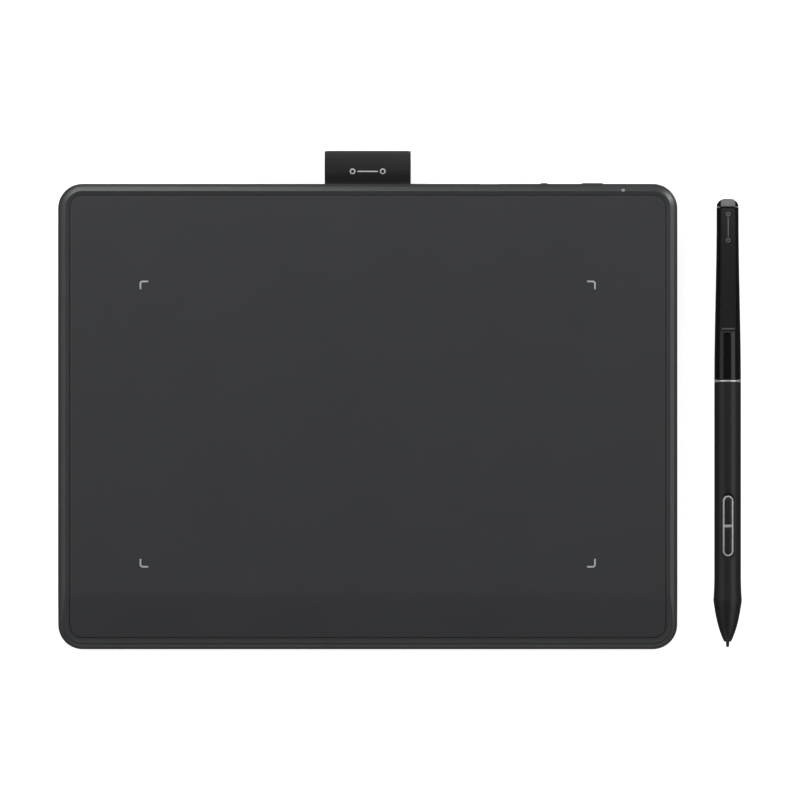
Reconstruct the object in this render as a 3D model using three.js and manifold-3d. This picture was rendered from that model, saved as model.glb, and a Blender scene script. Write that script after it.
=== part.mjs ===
// A small pen drawing tablet and its battery-free pen, lying side by side on a desk.
// Millimetres, +Z up. The origin is on the desk, under the middle of the whole set.
// The tablet lies flat with its rear edge (ports, buttons, pen loop) towards +Y. The pen lies to its
// right, along Y, with its tip towards -Y and its clip and side buttons up.
import * as THREE from 'three';
import { mergeVertices } from 'three/addons/utils/BufferGeometryUtils.js';
import Module from 'manifold-3d';

const wasm = await Module();
wasm.setup();

// ---------------------------------------------------------------- driving dimensions

// Tablet case
const CASE_WIDTH = 217.6;
const CASE_DEPTH = 163.6;
const CASE_HEIGHT = 8.6; // from the desk to the rim around the drawing surface
const CORNER_RADIUS = 8.6; // in plan
const INNER_CORNER = 1.5; // least plan radius of an inner outline
const WALL = 1.6;
const FLOOR = 1.2;
const FOOT_HEIGHT = 0.8; // how far the case stands off the desk
const SEAM = 0.3; // gap between the two halves of the case
const SEATED = 0.05; // gap under a screw's head or a part soldered to a board
const GLUE = 0.1; // gap between parts that are stuck or stacked on each other
const RUNNING = 0.15; // gap round a part that slides in a hole

// Rim round the drawing surface, as insets from the case outline and drops from the rim's crest
const CHAMFER_WIDTH = 2.5;
const CHAMFER_DROP = 1.95;
const RIM_INNER = 3.8; // foot of the rim's inner slope
const RIM_INNER_DROP = 0.45;
const LEDGE_INSET = 9.0; // inner edge of the ledge that carries the drawing surface
const LEDGE_THICKNESS = 0.75;

// Drawing surface, bent down towards the user along its front edge
const SURFACE_DROP = 0.25; // below the rim's crest
const SURFACE_THICKNESS = 1.0;
const SURFACE_CHAMFER = 0.22;
const BEND_START = 21.7; // from the front edge of the case
const BEND_LENGTH = 7.0;
const FRONT_SLOPE = THREE.MathUtils.degToRad(9);

// Feet, screws and label
const FOOT_LENGTH = 22;
const FOOT_WIDTH = 8;
const FOOT_SEAT = 0.5; // how deep a foot sits in the bottom cover
const FOOT_FROM_SIDE = 24; // centre of a foot
const FOOT_FROM_EDGE = 13;
const SCREW_FROM_SIDE = 6.6;
const SCREW_SHANK_RADIUS = 0.95;
const SCREW_HEAD_RADIUS = 1.85;
const SCREW_HEAD_HEIGHT = 0.9;
const SCREW_SEAT = 0.6; // height of the shoulder that a case screw clamps, over the inside floor
const BOSS_RADIUS = 2.9;
const LABEL_WIDTH = 58;
const LABEL_DEPTH = 26;
const LABEL_THICKNESS = 0.15;

// Rear edge: distances from the case's right side
const USB_FROM_SIDE = 66;
const PAIRING_FROM_SIDE = 46.8;
const POWER_FROM_SIDE = 29.8;
const LED_FROM_SIDE = 19.1;
const LED_FROM_EDGE = 2.35;
const USB_WIDTH = 8.94; // outside of the receptacle's shell
const USB_HEIGHT = 3.26;
const USB_DEPTH = 7.3;
const USB_SHELL_WALL = 0.3;
const USB_TONGUE = { width: 6.7, thickness: 0.7, length: 4.4 };
const POWER_WIDTH = 7.6;
const POWER_HEIGHT = 1.9;
const PAIRING_DIAMETER = 2.5;
const KEY_PROUD = 0.3; // how far a key stands out of the rear wall
const KEY_TRAVEL = 0.25;
const KEY_FLANGE = 0.6; // thickness of a key's inner flange
const KEY_OVERHANG = 0.5; // how far it reaches past the power key's hole
const PAIRING_OVERHANG = 0.25;
const LED_LENS_RADIUS = 0.6;

// Pen loop: a folded elastic ribbon
const LOOP_WIDTH = 30.3;
const LOOP_REACH = 11.7; // out of the case
const LOOP_NECK = 1.7; // from the case to the eye
const LOOP_EYE_HEIGHT = 8.1;
const RIBBON = 0.9;
const LOOP_STEM = 8; // inside the case
const CLAMP_THICKNESS = 0.8;
const CLAMP_OVER_FLOOR = 0.45;
const CLAMP_OVERHANG = 5.2; // each side of the ribbon, for a screw

// Electronics
const BOARD = 0.8;
const MAIN_BOARD = { width: 57, depth: 20, pastPort: 6.5, pastLight: 4 };
const BOARD_OVER_FLOOR = 0.2;
const SHIELD = 0.4;
const SENSOR_MARGIN = 0.5; // between the sensor board and the ledge and bosses round it
const BATTERY = { width: 60, depth: 46, thickness: 3.0 };

// Pen, measured along its axis from the nib's point
const PEN_LENGTH = 157.6;
const PEN_NOSE_START = 1.9;
const PEN_NOSE_END = 13.5; // seam between nose cone and grip
const PEN_SHOULDER = 16.5; // widest point
const PEN_GRIP_START = 25; // the flare ends and the grip is straight
const PEN_RING_START = 93.3;
const PEN_RING = 0.8;
const RING_PROUD = 0.03;
const END_CAP_LENGTH = 3.0;
const PEN_TIP_RADIUS = 1.45;
const NOSE_ROUND_END = 2.4; // the tip's rounding ends
const NOSE_BELLY = [7.5, 3.9]; // control point of the nose's curve: distance from the tip, and radius
const NOSE_CHAMBER = 7; // the nose's bore widens for the coil
const NOSE_SPIGOT_END = 19.5;
const PEN_SHOULDER_RADIUS = 5.0;
const PEN_GRIP_RADIUS = 4.68;
const PEN_HEAD_RADIUS = 3.88;
const PEN_BORE = 3.5; // inside radius of the lower barrel
const PEN_HEAD_BORE = 2.7;
const SPIGOT_LENGTH = 7;
const NIB_RADIUS = 0.62;
const NIB_LENGTH = 25;
const NIB_TRAVEL = 0.4;
const HOLDER_RADIUS = 1.5;
const HOLDER_GRIP = 3; // how far the holder reaches over the nib
const HOLDER_BACK = 1.9; // holder behind the nib's end
const SENSOR_LENGTH = 4.1;
const COIL_RADIUS = 2.2;
const FRAME_EDGE = 0.45; // height of its edges over the pen's axis
const PEN_BOARD = 0.6;
const PEN_KEYS_MIDDLE = 42.6;
const PEN_KEYS_LENGTH = 21.3; // bezel
const PEN_KEYS_WIDTH = 3.7;
const PEN_RECESS_MARGIN = 0.55; // the flat round the bezel
const RECESS_DEPTH = 0.63; // under the barrel's highest line
const BEZEL_LINE = 0.6;
const BEZEL_BAR = 1.0;
const BEZEL_THICKNESS = 0.7;
const BEZEL_BELOW_CREST = 0.1; // its face lies this far under the barrel's highest line
const KEY_FOOT_DEPTH = 1.15; // underside of a key, below the top of the barrel's bore
const PEN_KEY_PROUD = 0.3; // over the barrel's highest line
const PEN_KEY_GAP = 0.12;
const PEN_KEY_TRAVEL = 0.3;
const CLIP_WIDTH = 5.4;
const CLIP_THICKNESS = 1.0;
const CLIP_REACH = 39.7; // from the line that it bends about to its free end
const CLIP_STANDOFF = 0.7; // between clip and barrel
const CLIP_PIVOT_BACK = 3.6; // the line that the clip bends about, from the barrel's end
const CLIP_PIVOT_DEPTH = 0.58; // and under the barrel's skin
const CLIP_ROOT_WIDTH = 2.6;
const KNUCKLE_RADIUS = 0.75;
const PEN_CLEAR_OF_CASE = 12.7; // gap between the case and the pen's widest point
const PEN_TIP_BEHIND_FRONT = 0.8; // the tip lies this far behind the case's front edge

const ROUND = 28; // sides of a large round
const FINE_ROUND = 16; // sides of a small round
const CORNER_STEPS = 7;
const BEND_STEPS = 4;

// ---------------------------------------------------------------- derived sizes

const halfWidth = CASE_WIDTH / 2;
const halfDepth = CASE_DEPTH / 2;
const bendY = -halfDepth + BEND_START;
const bendRadius = BEND_LENGTH / FRONT_SLOPE;
const floorTop = FOOT_HEIGHT + FLOOR;
const ledgeDrop = SURFACE_DROP + SURFACE_THICKNESS + GLUE;
const ledgeUnderside = CASE_HEIGHT - ledgeDrop - LEDGE_THICKNESS;
const seamHeight = floorTop; // top of the bottom cover's edge
const screwSeat = floorTop + SCREW_SEAT;
const boardUnderside = floorTop + BOARD_OVER_FLOOR;
const boardTop = boardUnderside + BOARD;
const keyHalfHeight = Math.max(POWER_HEIGHT / 2 + KEY_OVERHANG, PAIRING_DIAMETER / 2 + PAIRING_OVERHANG);
// Middle of the port and of both keys, which clear the board.
const portHeight = boardTop + SEATED + Math.max(USB_HEIGHT / 2, keyHalfHeight + GLUE);
const loopHeight = floorTop + CLAMP_OVER_FLOOR + CLAMP_THICKNESS + GLUE + RIBBON; // middle of its slot
const usbX = halfWidth - USB_FROM_SIDE;
const pairingX = halfWidth - PAIRING_FROM_SIDE;
const powerX = halfWidth - POWER_FROM_SIDE;
const ledX = halfWidth - LED_FROM_SIDE;
const rearInside = halfDepth - WALL;
const clampDepth = LOOP_STEM - WALL - GLUE;
const loopTop = loopHeight + RIBBON;
const sensorRear = halfDepth - LEDGE_INSET - SENSOR_MARGIN;
const sensorFront = bendY + 2;
const sensorHalfWidth = halfWidth - Math.max(LEDGE_INSET, SCREW_FROM_SIDE + BOSS_RADIUS) - SENSOR_MARGIN;
const sensorTop = CASE_HEIGHT - SURFACE_DROP - SURFACE_THICKNESS - GLUE;
const sensorUnderside = sensorTop - BOARD;
const shieldUnderside = sensorUnderside - GLUE - SHIELD;

// Height of the rim's crest over the desk at a given depth: level, then an arc, then a straight slope.
function crestHeight(y) {
  const past = bendY - y;
  if (past <= 0) return CASE_HEIGHT;
  const arc = bendRadius * Math.sin(FRONT_SLOPE);
  if (past < arc) return CASE_HEIGHT - bendRadius + Math.sqrt(bendRadius ** 2 - past ** 2);
  const arcDrop = bendRadius * (1 - Math.cos(FRONT_SLOPE));
  return CASE_HEIGHT - arcDrop - (past - arc) * Math.tan(FRONT_SLOPE);
}

// ---------------------------------------------------------------- materials

const material = (color, roughness, metalness = 0) =>
  new THREE.MeshStandardMaterial({ color, roughness, metalness });

const materials = {
  casePlastic: material(0x4a4c4c, 0.5),
  surfaceFilm: material(0x36383a, 0.75),
  basePlastic: material(0x303232, 0.6),
  rubber: material(0x161616, 0.9),
  ribbon: material(0x232323, 0.95),
  keyPlastic: material(0x3a3c3c, 0.45),
  steel: material(0xb8b8b8, 0.3, 1),
  lens: material(0xe6e6e6, 0.2),
  circuitBoard: material(0x163a24, 0.5),
  epoxy: material(0x141414, 0.5),
  whitePlastic: material(0xe2ded2, 0.5),
  foil: material(0xa8aab0, 0.4, 0.6),
  film: material(0xa66a2c, 0.4),
  label: material(0x24262a, 0.7),
  redWire: material(0xa01c18, 0.5),
  blackWire: material(0x141414, 0.5),
  penMatte: material(0x242424, 0.55),
  penGloss: material(0x131313, 0.2),
  silver: material(0xc8c8ca, 0.2, 1),
  nibPlastic: material(0x1a1a1a, 0.6),
  ferrite: material(0x2c2c30, 0.7),
  copper: material(0xb4683a, 0.35, 1),
};

// ---------------------------------------------------------------- solids

function toSolid(geometry) {
  const bare = geometry.index ? geometry.toNonIndexed() : geometry.clone();
  bare.deleteAttribute('normal');
  bare.deleteAttribute('uv');
  const merged = mergeVertices(bare, 1e-4);
  return new wasm.Manifold(new wasm.Mesh({
    numProp: 3,
    vertProperties: merged.attributes.position.array,
    triVerts: new Uint32Array(merged.index.array),
  }));
}

function toGeometry(solid) {
  const made = solid.getMesh();
  const geometry = new THREE.BufferGeometry();
  geometry.setAttribute('position', new THREE.BufferAttribute(made.vertProperties, 3));
  geometry.setIndex(new THREE.BufferAttribute(made.triVerts, 1));
  return geometry;
}

const cut = (solid, ...tools) => tools.reduce((rest, tool) => rest.subtract(toSolid(tool)), solid);
const join = (solid, ...others) => others.reduce((sum, other) => sum.add(toSolid(other)), solid);

function box(x0, x1, y0, y1, z0, z1) {
  const geometry = new THREE.BoxGeometry(x1 - x0, y1 - y0, z1 - z0);
  return geometry.translate((x0 + x1) / 2, (y0 + y1) / 2, (z0 + z1) / 2);
}

// A cylinder on the Z axis, or on the Y axis, between two heights.
function pillar(x, y, z0, z1, radius, sides = FINE_ROUND) {
  const geometry = new THREE.CylinderGeometry(radius, radius, z1 - z0, sides);
  return geometry.rotateX(Math.PI / 2).translate(x, y, (z0 + z1) / 2);
}

function rod(x, z, y0, y1, radius, sides = FINE_ROUND) {
  return new THREE.CylinderGeometry(radius, radius, y1 - y0, sides).translate(x, (y0 + y1) / 2, z);
}

// A shape with fully round ends, its middle at the origin.
function stadium(width, height) {
  const radius = Math.min(width, height) / 2;
  const half = Math.abs(width - height) / 2;
  const shape = new THREE.Shape();
  if (width > height) {
    shape.absarc(half, 0, radius, -Math.PI / 2, Math.PI / 2, false);
    shape.absarc(-half, 0, radius, Math.PI / 2, Math.PI * 1.5, false);
  } else {
    shape.absarc(0, half, radius, 0, Math.PI, false);
    shape.absarc(0, -half, radius, Math.PI, Math.PI * 2, false);
  }
  return shape;
}

const X = new THREE.Vector3(1, 0, 0);
const Y = new THREE.Vector3(0, 1, 0);
const Z = new THREE.Vector3(0, 0, 1);

// Extrusions of a shape drawn in plan, in the XZ plane or in the YZ plane.
function extrude(shape, depth, curveSegments = 6) {
  return new THREE.ExtrudeGeometry(shape, { depth, bevelEnabled: false, curveSegments });
}

const extrudeUp = (shape, z0, z1) => extrude(shape, z1 - z0).translate(0, 0, z0);

function extrudeForward(shape, x, z, yRear, yFront) {
  const turn = new THREE.Matrix4().makeBasis(X, Z, Y.clone().negate());
  return extrude(shape, yRear - yFront).applyMatrix4(turn).translate(x, yRear, z);
}

function extrudeSideways(shape, x0, x1, curveSegments = 10) {
  const turn = new THREE.Matrix4().makeBasis(Y, Z, X);
  return extrude(shape, x1 - x0, curveSegments).applyMatrix4(turn).translate(x0, 0, 0);
}

// A solid of revolution about the Y axis, from pairs of distance along the axis and radius. The profile
// runs along the outside away from y = 0. It closes on itself, unless both its ends are on the axis.
function turned(profile, sides = ROUND) {
  const points = profile.map(([along, radius]) => new THREE.Vector2(radius, along));
  const onAxis = points[0].x === 0 && points.at(-1).x === 0;
  return new THREE.LatheGeometry(onAxis ? points : [...points, points[0].clone()], sides);
}

// ---------------------------------------------------------------- case outline

// Depths at which the sides of the case need a point to follow the bend.
const bendStations = Array.from({ length: BEND_STEPS + 1 }, (_, i) =>
  bendY - bendRadius * Math.sin((FRONT_SLOPE * i) / BEND_STEPS));

// The right half of the case outline at an inset, from the rear edge to the front edge.
function halfOutline(inset) {
  const radius = Math.max(CORNER_RADIUS - inset, INNER_CORNER);
  const centre = new THREE.Vector2(halfWidth - inset - radius, halfDepth - inset - radius);
  const corner = (from, side) => Array.from({ length: CORNER_STEPS + 1 }, (_, i) => {
    const angle = from - (Math.PI / 2) * (i / CORNER_STEPS);
    const x = centre.x + radius * Math.cos(angle);
    return new THREE.Vector2(x, side * centre.y + radius * Math.sin(angle));
  });
  const side = bendStations.map((y) => new THREE.Vector2(centre.x + radius, y));
  return [...corner(Math.PI / 2, 1), ...side, ...corner(0, -1)];
}

// A skin through rings of the case outline, each an inset and a height that may depend on y. The rings
// run up the outside: a plate is capped at both ends, a frame goes on down its inside to close on itself.
function outlineLoft(rings, isFrame) {
  const half = halfOutline(0).length;
  const count = 2 * half;
  const positions = [];
  for (const [inset, height] of rings) {
    const right = halfOutline(inset);
    const left = right.map((p) => new THREE.Vector2(-p.x, p.y)).reverse();
    const z = typeof height === 'function' ? height : () => height;
    for (const p of [...right, ...left]) positions.push(p.x, p.y, z(p.y));
  }
  const faces = [];
  const quad = (a, b, c, d) => faces.push(a, b, c, a, c, d);
  const bands = isFrame ? rings.length : rings.length - 1;
  for (let ring = 0; ring < bands; ring++) {
    const low = ring * count;
    const high = ((ring + 1) % rings.length) * count;
    for (let i = 0; i < count; i++) {
      const next = (i + 1) % count;
      quad(low + i, high + i, high + next, low + next);
    }
  }
  if (!isFrame) {
    const top = (rings.length - 1) * count;
    for (let i = 0; i < half - 1; i++) {
      const across = count - 1 - i;
      quad(i, i + 1, across - 1, across);
      quad(top + i, top + across, top + across - 1, top + i + 1);
    }
  }
  const geometry = new THREE.BufferGeometry();
  geometry.setAttribute('position', new THREE.Float32BufferAttribute(positions, 3));
  geometry.setIndex(faces);
  return geometry;
}

const under = (drop) => (y) => crestHeight(y) - drop;

// ---------------------------------------------------------------- tablet

const tablet = new THREE.Group();
const pen = new THREE.Group();

function add(group, name, solid, finish) {
  const geometry = solid.isBufferGeometry ? solid : toGeometry(solid);
  const mesh = new THREE.Mesh(geometry, finish);
  mesh.name = name;
  group.add(mesh);
}

// The case screws stand along both sides: near the rear edge, half way, and just behind the bend.
const screwDepths = [halfDepth - 12, (halfDepth - 12 + bendY) / 2, bendY + 1];
const caseScrews = [-1, 1].flatMap((side) =>
  screwDepths.map((y) => new THREE.Vector2(side * (halfWidth - SCREW_FROM_SIDE), y)));

const feet = [-1, 1].flatMap((side) => [-1, 1].map((end) =>
  new THREE.Vector2(side * (halfWidth - FOOT_FROM_SIDE), end * (halfDepth - FOOT_FROM_EDGE))));

function topShell() {
  let shell = toSolid(outlineLoft([
    [0, seamHeight + SEAM],
    [0, under(CHAMFER_DROP + 0.1)],
    [0.12, under(CHAMFER_DROP - 0.14)],
    [CHAMFER_WIDTH - 0.15, under(0.1)],
    [CHAMFER_WIDTH + 0.05, under(0)],
    [CHAMFER_WIDTH + 0.3, under(0.03)],
    [RIM_INNER, under(RIM_INNER_DROP)],
    [RIM_INNER, under(ledgeDrop)],
    [LEDGE_INSET, under(ledgeDrop)],
    [LEDGE_INSET, under(ledgeDrop + LEDGE_THICKNESS)],
    [WALL, under(ledgeDrop + LEDGE_THICKNESS)],
    [WALL, seamHeight + SEAM],
  ], true));
  const bossFoot = screwSeat + FLOOR;
  for (const { x, y } of caseScrews) {
    shell = join(shell, pillar(x, y, bossFoot, ledgeUnderside + 0.2, BOSS_RADIUS));
    shell = cut(shell, pillar(x, y, bossFoot - 1, ledgeUnderside, SCREW_SHANK_RADIUS + GLUE));
  }
  const hole = (shape, x, z) => extrudeForward(shape, x, z, halfDepth + 1, halfDepth - WALL - 1);
  const ledgeMiddle = ledgeUnderside + LEDGE_THICKNESS / 2;
  return cut(
    shell,
    extrudeForward(stadium(USB_WIDTH + 2 * RUNNING, USB_HEIGHT + 2 * RUNNING), usbX, portHeight,
      halfDepth + 1, halfDepth - USB_DEPTH - SEAM),
    hole(stadium(POWER_WIDTH + 2 * RUNNING, POWER_HEIGHT + 2 * RUNNING), powerX, portHeight),
    rod(pairingX, portHeight, halfDepth - WALL - 1, halfDepth + 1, PAIRING_DIAMETER / 2 + RUNNING),
    hole(stadium(LOOP_WIDTH + 2.4, 2 * RIBBON + 2 * RUNNING), 0, loopHeight),
    pillar(ledX, halfDepth - LED_FROM_EDGE, lensFoot - 1, CASE_HEIGHT + 1, LED_LENS_RADIUS + GLUE),
    ...clampScrews.map(({ x, y }) =>
      pillar(x, y, ledgeUnderside - 1, ledgeMiddle, SCREW_SHANK_RADIUS + GLUE, FINE_ROUND / 2)),
  );
}

function drawingSurface() {
  const edge = RIM_INNER + SEAM;
  return outlineLoft([
    [edge, under(SURFACE_DROP + SURFACE_THICKNESS)],
    [edge, under(SURFACE_DROP + SURFACE_CHAMFER)],
    [edge + SURFACE_CHAMFER, under(SURFACE_DROP)],
  ], false);
}

function bottomCover() {
  let cover = toSolid(outlineLoft([
    [2.0, FOOT_HEIGHT],
    [1.0, FOOT_HEIGHT + 0.16],
    [0.3, FOOT_HEIGHT + 0.56],
    [0, seamHeight - 0.1],
    [0, seamHeight],
  ], false));
  const lipInset = WALL + SEAM;
  cover = cover.add(toSolid(outlineLoft([
    [lipInset, floorTop - 0.4],
    [lipInset, floorTop + 0.9],
    [lipInset + 1, floorTop + 0.9],
    [lipInset + 1, floorTop - 0.4],
  ], true)));
  const notch = (x, width) =>
    box(x - width / 2, x + width / 2, rearInside - 3, rearInside, floorTop + GLUE, floorTop + 2);
  cover = cut(
    cover,
    notch((board.left + board.right) / 2, board.right - board.left + 2),
    notch(0, 2 * clampHalf + 2),
  );
  const cupTop = screwSeat + FLOOR - GLUE;
  for (const { x, y } of caseScrews) {
    cover = join(cover, pillar(x, y, floorTop - 0.4, cupTop, BOSS_RADIUS));
    cover = cut(
      cover,
      pillar(x, y, FOOT_HEIGHT - 1, screwSeat, SCREW_HEAD_RADIUS + 0.25),
      pillar(x, y, screwSeat - 1, cupTop + 1, SCREW_SHANK_RADIUS + GLUE),
    );
  }
  for (const { x, y } of boardScrews) {
    cover = cut(cover, pillar(x, y, boardHoleBottom, floorTop + 1, SCREW_SHANK_RADIUS + GLUE));
  }
  for (const { x, y } of feet) {
    const seat = stadium(FOOT_LENGTH + 2 * RUNNING, FOOT_WIDTH + 2 * RUNNING);
    cover = cut(cover, extrudeUp(seat, -1, FOOT_HEIGHT + FOOT_SEAT + GLUE).translate(x, y, 0));
  }
  const halfLabel = { x: LABEL_WIDTH / 2 + RUNNING, y: LABEL_DEPTH / 2 + RUNNING };
  return cut(
    cover,
    box(-halfLabel.x, halfLabel.x, -halfLabel.y, halfLabel.y, 0, FOOT_HEIGHT + LABEL_THICKNESS + 0.1),
  );
}

function ratingLabel() {
  const low = FOOT_HEIGHT + 0.05;
  return box(-LABEL_WIDTH / 2, LABEL_WIDTH / 2, -LABEL_DEPTH / 2, LABEL_DEPTH / 2,
    low, low + LABEL_THICKNESS);
}

const foot = () => extrudeUp(stadium(FOOT_LENGTH, FOOT_WIDTH), 0, FOOT_HEIGHT + FOOT_SEAT);

// A small pan-head screw standing on its head, with a cross recess. Its clamping face is at z = 0.
function screw(length) {
  const head = pillar(0, 0, -SCREW_HEAD_HEIGHT, 0, SCREW_HEAD_RADIUS);
  const shank = pillar(0, 0, -0.2, length, SCREW_SHANK_RADIUS, FINE_ROUND / 2);
  const slot = { half: 1.1, width: 0.25, depth: 0.45 };
  const slotTop = -SCREW_HEAD_HEIGHT + slot.depth;
  return cut(
    join(toSolid(head), shank),
    box(-slot.half, slot.half, -slot.width, slot.width, -SCREW_HEAD_HEIGHT - 1, slotTop),
    box(-slot.width, slot.width, -slot.half, slot.half, -SCREW_HEAD_HEIGHT - 1, slotTop),
  );
}

function placedScrew(length, x, y, z) {
  return toGeometry(screw(length)).translate(x, y, z);
}

// ---- pen loop

// The ribbon's side view: two layers lead out of the case and open into an eye. y = 0 is the rear wall.
function loopProfile() {
  const a = (LOOP_REACH - LOOP_NECK) / 2;
  const b = LOOP_EYE_HEIGHT / 2;
  const middle = LOOP_REACH - a;
  const tangentAngle = (fromY, fromZ, halfLength, halfHeight) => {
    const along = (middle - fromY) / halfLength;
    const up = fromZ / halfHeight;
    return Math.PI - Math.atan2(up, along) - Math.acos(1 / Math.hypot(along, up));
  };
  const outside = tangentAngle(0, RIBBON, a, b);
  const shape = new THREE.Shape();
  shape.moveTo(-LOOP_STEM, -RIBBON);
  shape.lineTo(0, -RIBBON);
  shape.absellipse(middle, 0, a, b, -outside, outside, false);
  shape.lineTo(0, RIBBON);
  shape.lineTo(-LOOP_STEM, RIBBON);
  shape.closePath();
  const apex = 1.0; // where the layers part
  const inside = tangentAngle(apex, 0, a - RIBBON, b - RIBBON);
  const eye = new THREE.Path();
  eye.moveTo(apex, 0);
  eye.absellipse(middle, 0, a - RIBBON, b - RIBBON, -inside, inside, false);
  eye.closePath();
  shape.holes.push(eye);
  return shape;
}

function penLoop() {
  return extrudeSideways(loopProfile(), -LOOP_WIDTH / 2, LOOP_WIDTH / 2, 14)
    .translate(0, halfDepth, loopHeight);
}

const clampHalf = LOOP_WIDTH / 2 + CLAMP_OVERHANG;
const clampY = rearInside - GLUE - clampDepth / 2;
const clampLow = floorTop + CLAMP_OVER_FLOOR;
const clampSeat = clampLow + SCREW_HEAD_HEIGHT + GLUE;
const clampScrews = [-1, 1].map((side) => new THREE.Vector2(side * (clampHalf - 2.4), clampY));

// A bar that presses the ribbon's two layers up against the ledge. Spacer blocks at its ends carry
// the screws.
function loopClamp() {
  const y0 = clampY - clampDepth / 2;
  const y1 = clampY + clampDepth / 2;
  const low = clampLow;
  const ribbonSide = LOOP_WIDTH / 2 + SEAM;
  const high = ledgeUnderside - GLUE;
  let bar = toSolid(box(-clampHalf, clampHalf, y0, y1, low, low + CLAMP_THICKNESS));
  for (const side of [-1, 1]) {
    const [x0, x1] = [side * ribbonSide, side * clampHalf].sort((p, q) => p - q);
    bar = join(bar, box(x0, x1, y0, y1, low, high));
  }
  return cut(bar, ...clampScrews.flatMap(({ x, y }) => [
    pillar(x, y, low - 1, high + 1, SCREW_SHANK_RADIUS + GLUE, FINE_ROUND / 2),
    pillar(x, y, low - 1, clampSeat, SCREW_HEAD_RADIUS + GLUE),
  ]));
}

// A strip that fills the space over the ribbon, up to the ledge.
function loopSpacer() {
  return box(-LOOP_WIDTH / 2, LOOP_WIDTH / 2, clampY - clampDepth / 2, clampY + clampDepth / 2,
    loopTop + GLUE, ledgeUnderside - GLUE);
}

// ---- rear edge

function usbShell() {
  const y1 = halfDepth - 0.2;
  const y0 = y1 - USB_DEPTH;
  const outer = extrudeForward(stadium(USB_WIDTH, USB_HEIGHT), usbX, portHeight, y1, y0);
  const mouth = stadium(USB_WIDTH - 2 * USB_SHELL_WALL, USB_HEIGHT - 2 * USB_SHELL_WALL);
  return cut(toSolid(outer), extrudeForward(mouth, usbX, portHeight, y1 + 1, y0 + 0.8));
}

function usbTongue() {
  const back = halfDepth - 0.2 - USB_DEPTH + 0.8 + GLUE;
  const { width, thickness, length } = USB_TONGUE;
  const margin = 2 * (USB_SHELL_WALL + GLUE);
  const base = stadium(USB_WIDTH - margin, USB_HEIGHT - margin);
  return join(
    toSolid(extrudeForward(base, usbX, portHeight, back + 1, back)),
    box(usbX - width / 2, usbX + width / 2, back + 0.5, back + 1 + length,
      portHeight - thickness / 2, portHeight + thickness / 2),
  );
}

const keyFlangeFace = rearInside - SEAM; // the flange's rear face, at rest

function powerButton() {
  const face = halfDepth + KEY_PROUD;
  const key = stadium(POWER_WIDTH, POWER_HEIGHT);
  const flange = stadium(POWER_WIDTH + 2 * KEY_OVERHANG, POWER_HEIGHT + 2 * KEY_OVERHANG);
  return join(
    toSolid(extrudeForward(key, powerX, portHeight, face, keyFlangeFace - 0.3)),
    extrudeForward(flange, powerX, portHeight, keyFlangeFace, keyFlangeFace - KEY_FLANGE),
  );
}

function pairingButton() {
  const radius = PAIRING_DIAMETER / 2;
  return join(
    toSolid(rod(pairingX, portHeight, keyFlangeFace - 0.3, halfDepth + KEY_PROUD, radius)),
    rod(pairingX, portHeight, keyFlangeFace - KEY_FLANGE, keyFlangeFace, radius + PAIRING_OVERHANG),
  );
}

// A side-acting tact switch on the board: a body and its plunger's guide, facing the rear wall.
function tactSwitch(x) {
  const face = keyFlangeFace - KEY_FLANGE - KEY_TRAVEL - GLUE;
  return join(
    toSolid(box(x - 2.2, x + 2.2, face - 3.4, face - 0.5, boardTop + SEATED, boardTop + 2.6)),
    rod(x, portHeight, face - 1, face, 0.7),
  );
}

const lensFoot = boardTop + 1;

function ledLens() {
  const y = halfDepth - LED_FROM_EDGE;
  const pipe = toSolid(pillar(ledX, y, lensFoot, CASE_HEIGHT, LED_LENS_RADIUS));
  const above = toSolid(outlineLoft([
    [-1, CASE_HEIGHT + 2],
    [-1, under(CHAMFER_DROP + 1)],
    [CHAMFER_WIDTH, under(0)],
    [LEDGE_INSET, under(0)],
    [LEDGE_INSET, CASE_HEIGHT + 2],
  ].reverse(), true));
  return pipe.subtract(above);
}

function statusLed() {
  const y = Math.min(halfDepth - LED_FROM_EDGE, rearInside - GLUE - 0.4);
  return box(ledX - 0.8, ledX + 0.8, y - 0.4, y + 0.4, boardTop + SEATED, boardTop + 0.65);
}

// ---- electronics

// The main board reaches from the port to the status light, and is wide enough for what stands on it.
const board = (() => {
  const right = ledX + MAIN_BOARD.pastLight;
  const left = Math.min(usbX - MAIN_BOARD.pastPort, right - MAIN_BOARD.width);
  const rear = rearInside - SEAM;
  return { left, right, rear, front: rear - MAIN_BOARD.depth };
})();

const boardScrews = [board.left + 3, board.right - 3].map((x) => new THREE.Vector2(x, board.front + 3));

function mainBoard() {
  const { left, right, rear, front } = board;
  return cut(
    toSolid(box(left, right, front, rear, boardUnderside, boardTop)),
    ...boardScrews.map(({ x, y }) =>
      pillar(x, y, 0, boardTop + 1, SCREW_SHANK_RADIUS + GLUE, FINE_ROUND / 2)),
  );
}

// A board screw points down, through the board into a blind hole in the floor.
const boardHoleBottom = floorTop - 0.4;

function boardScrew({ x, y }) {
  const length = boardTop - boardHoleBottom - GLUE;
  return toGeometry(screw(length)).rotateX(Math.PI).translate(x, y, boardTop + SEATED);
}

const onBoard = (x, y, width, depth, height) =>
  box(x - width / 2, x + width / 2, y - depth / 2, y + depth / 2, boardTop + SEATED, boardTop + height);

const connectorX = board.left + 28;
const connectorY = board.front + 5;

function sensorBoard() {
  return box(-sensorHalfWidth, sensorHalfWidth, sensorFront, sensorRear, sensorUnderside, sensorTop);
}

// The shield stops short of the sensor board's rear edge, where the ribbon cable is soldered.
const shieldRear = sensorRear - 8;

function shieldPlate() {
  const side = sensorHalfWidth - 2;
  return box(-side, side, sensorFront + 2, shieldRear, shieldUnderside, shieldUnderside + SHIELD);
}

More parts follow.
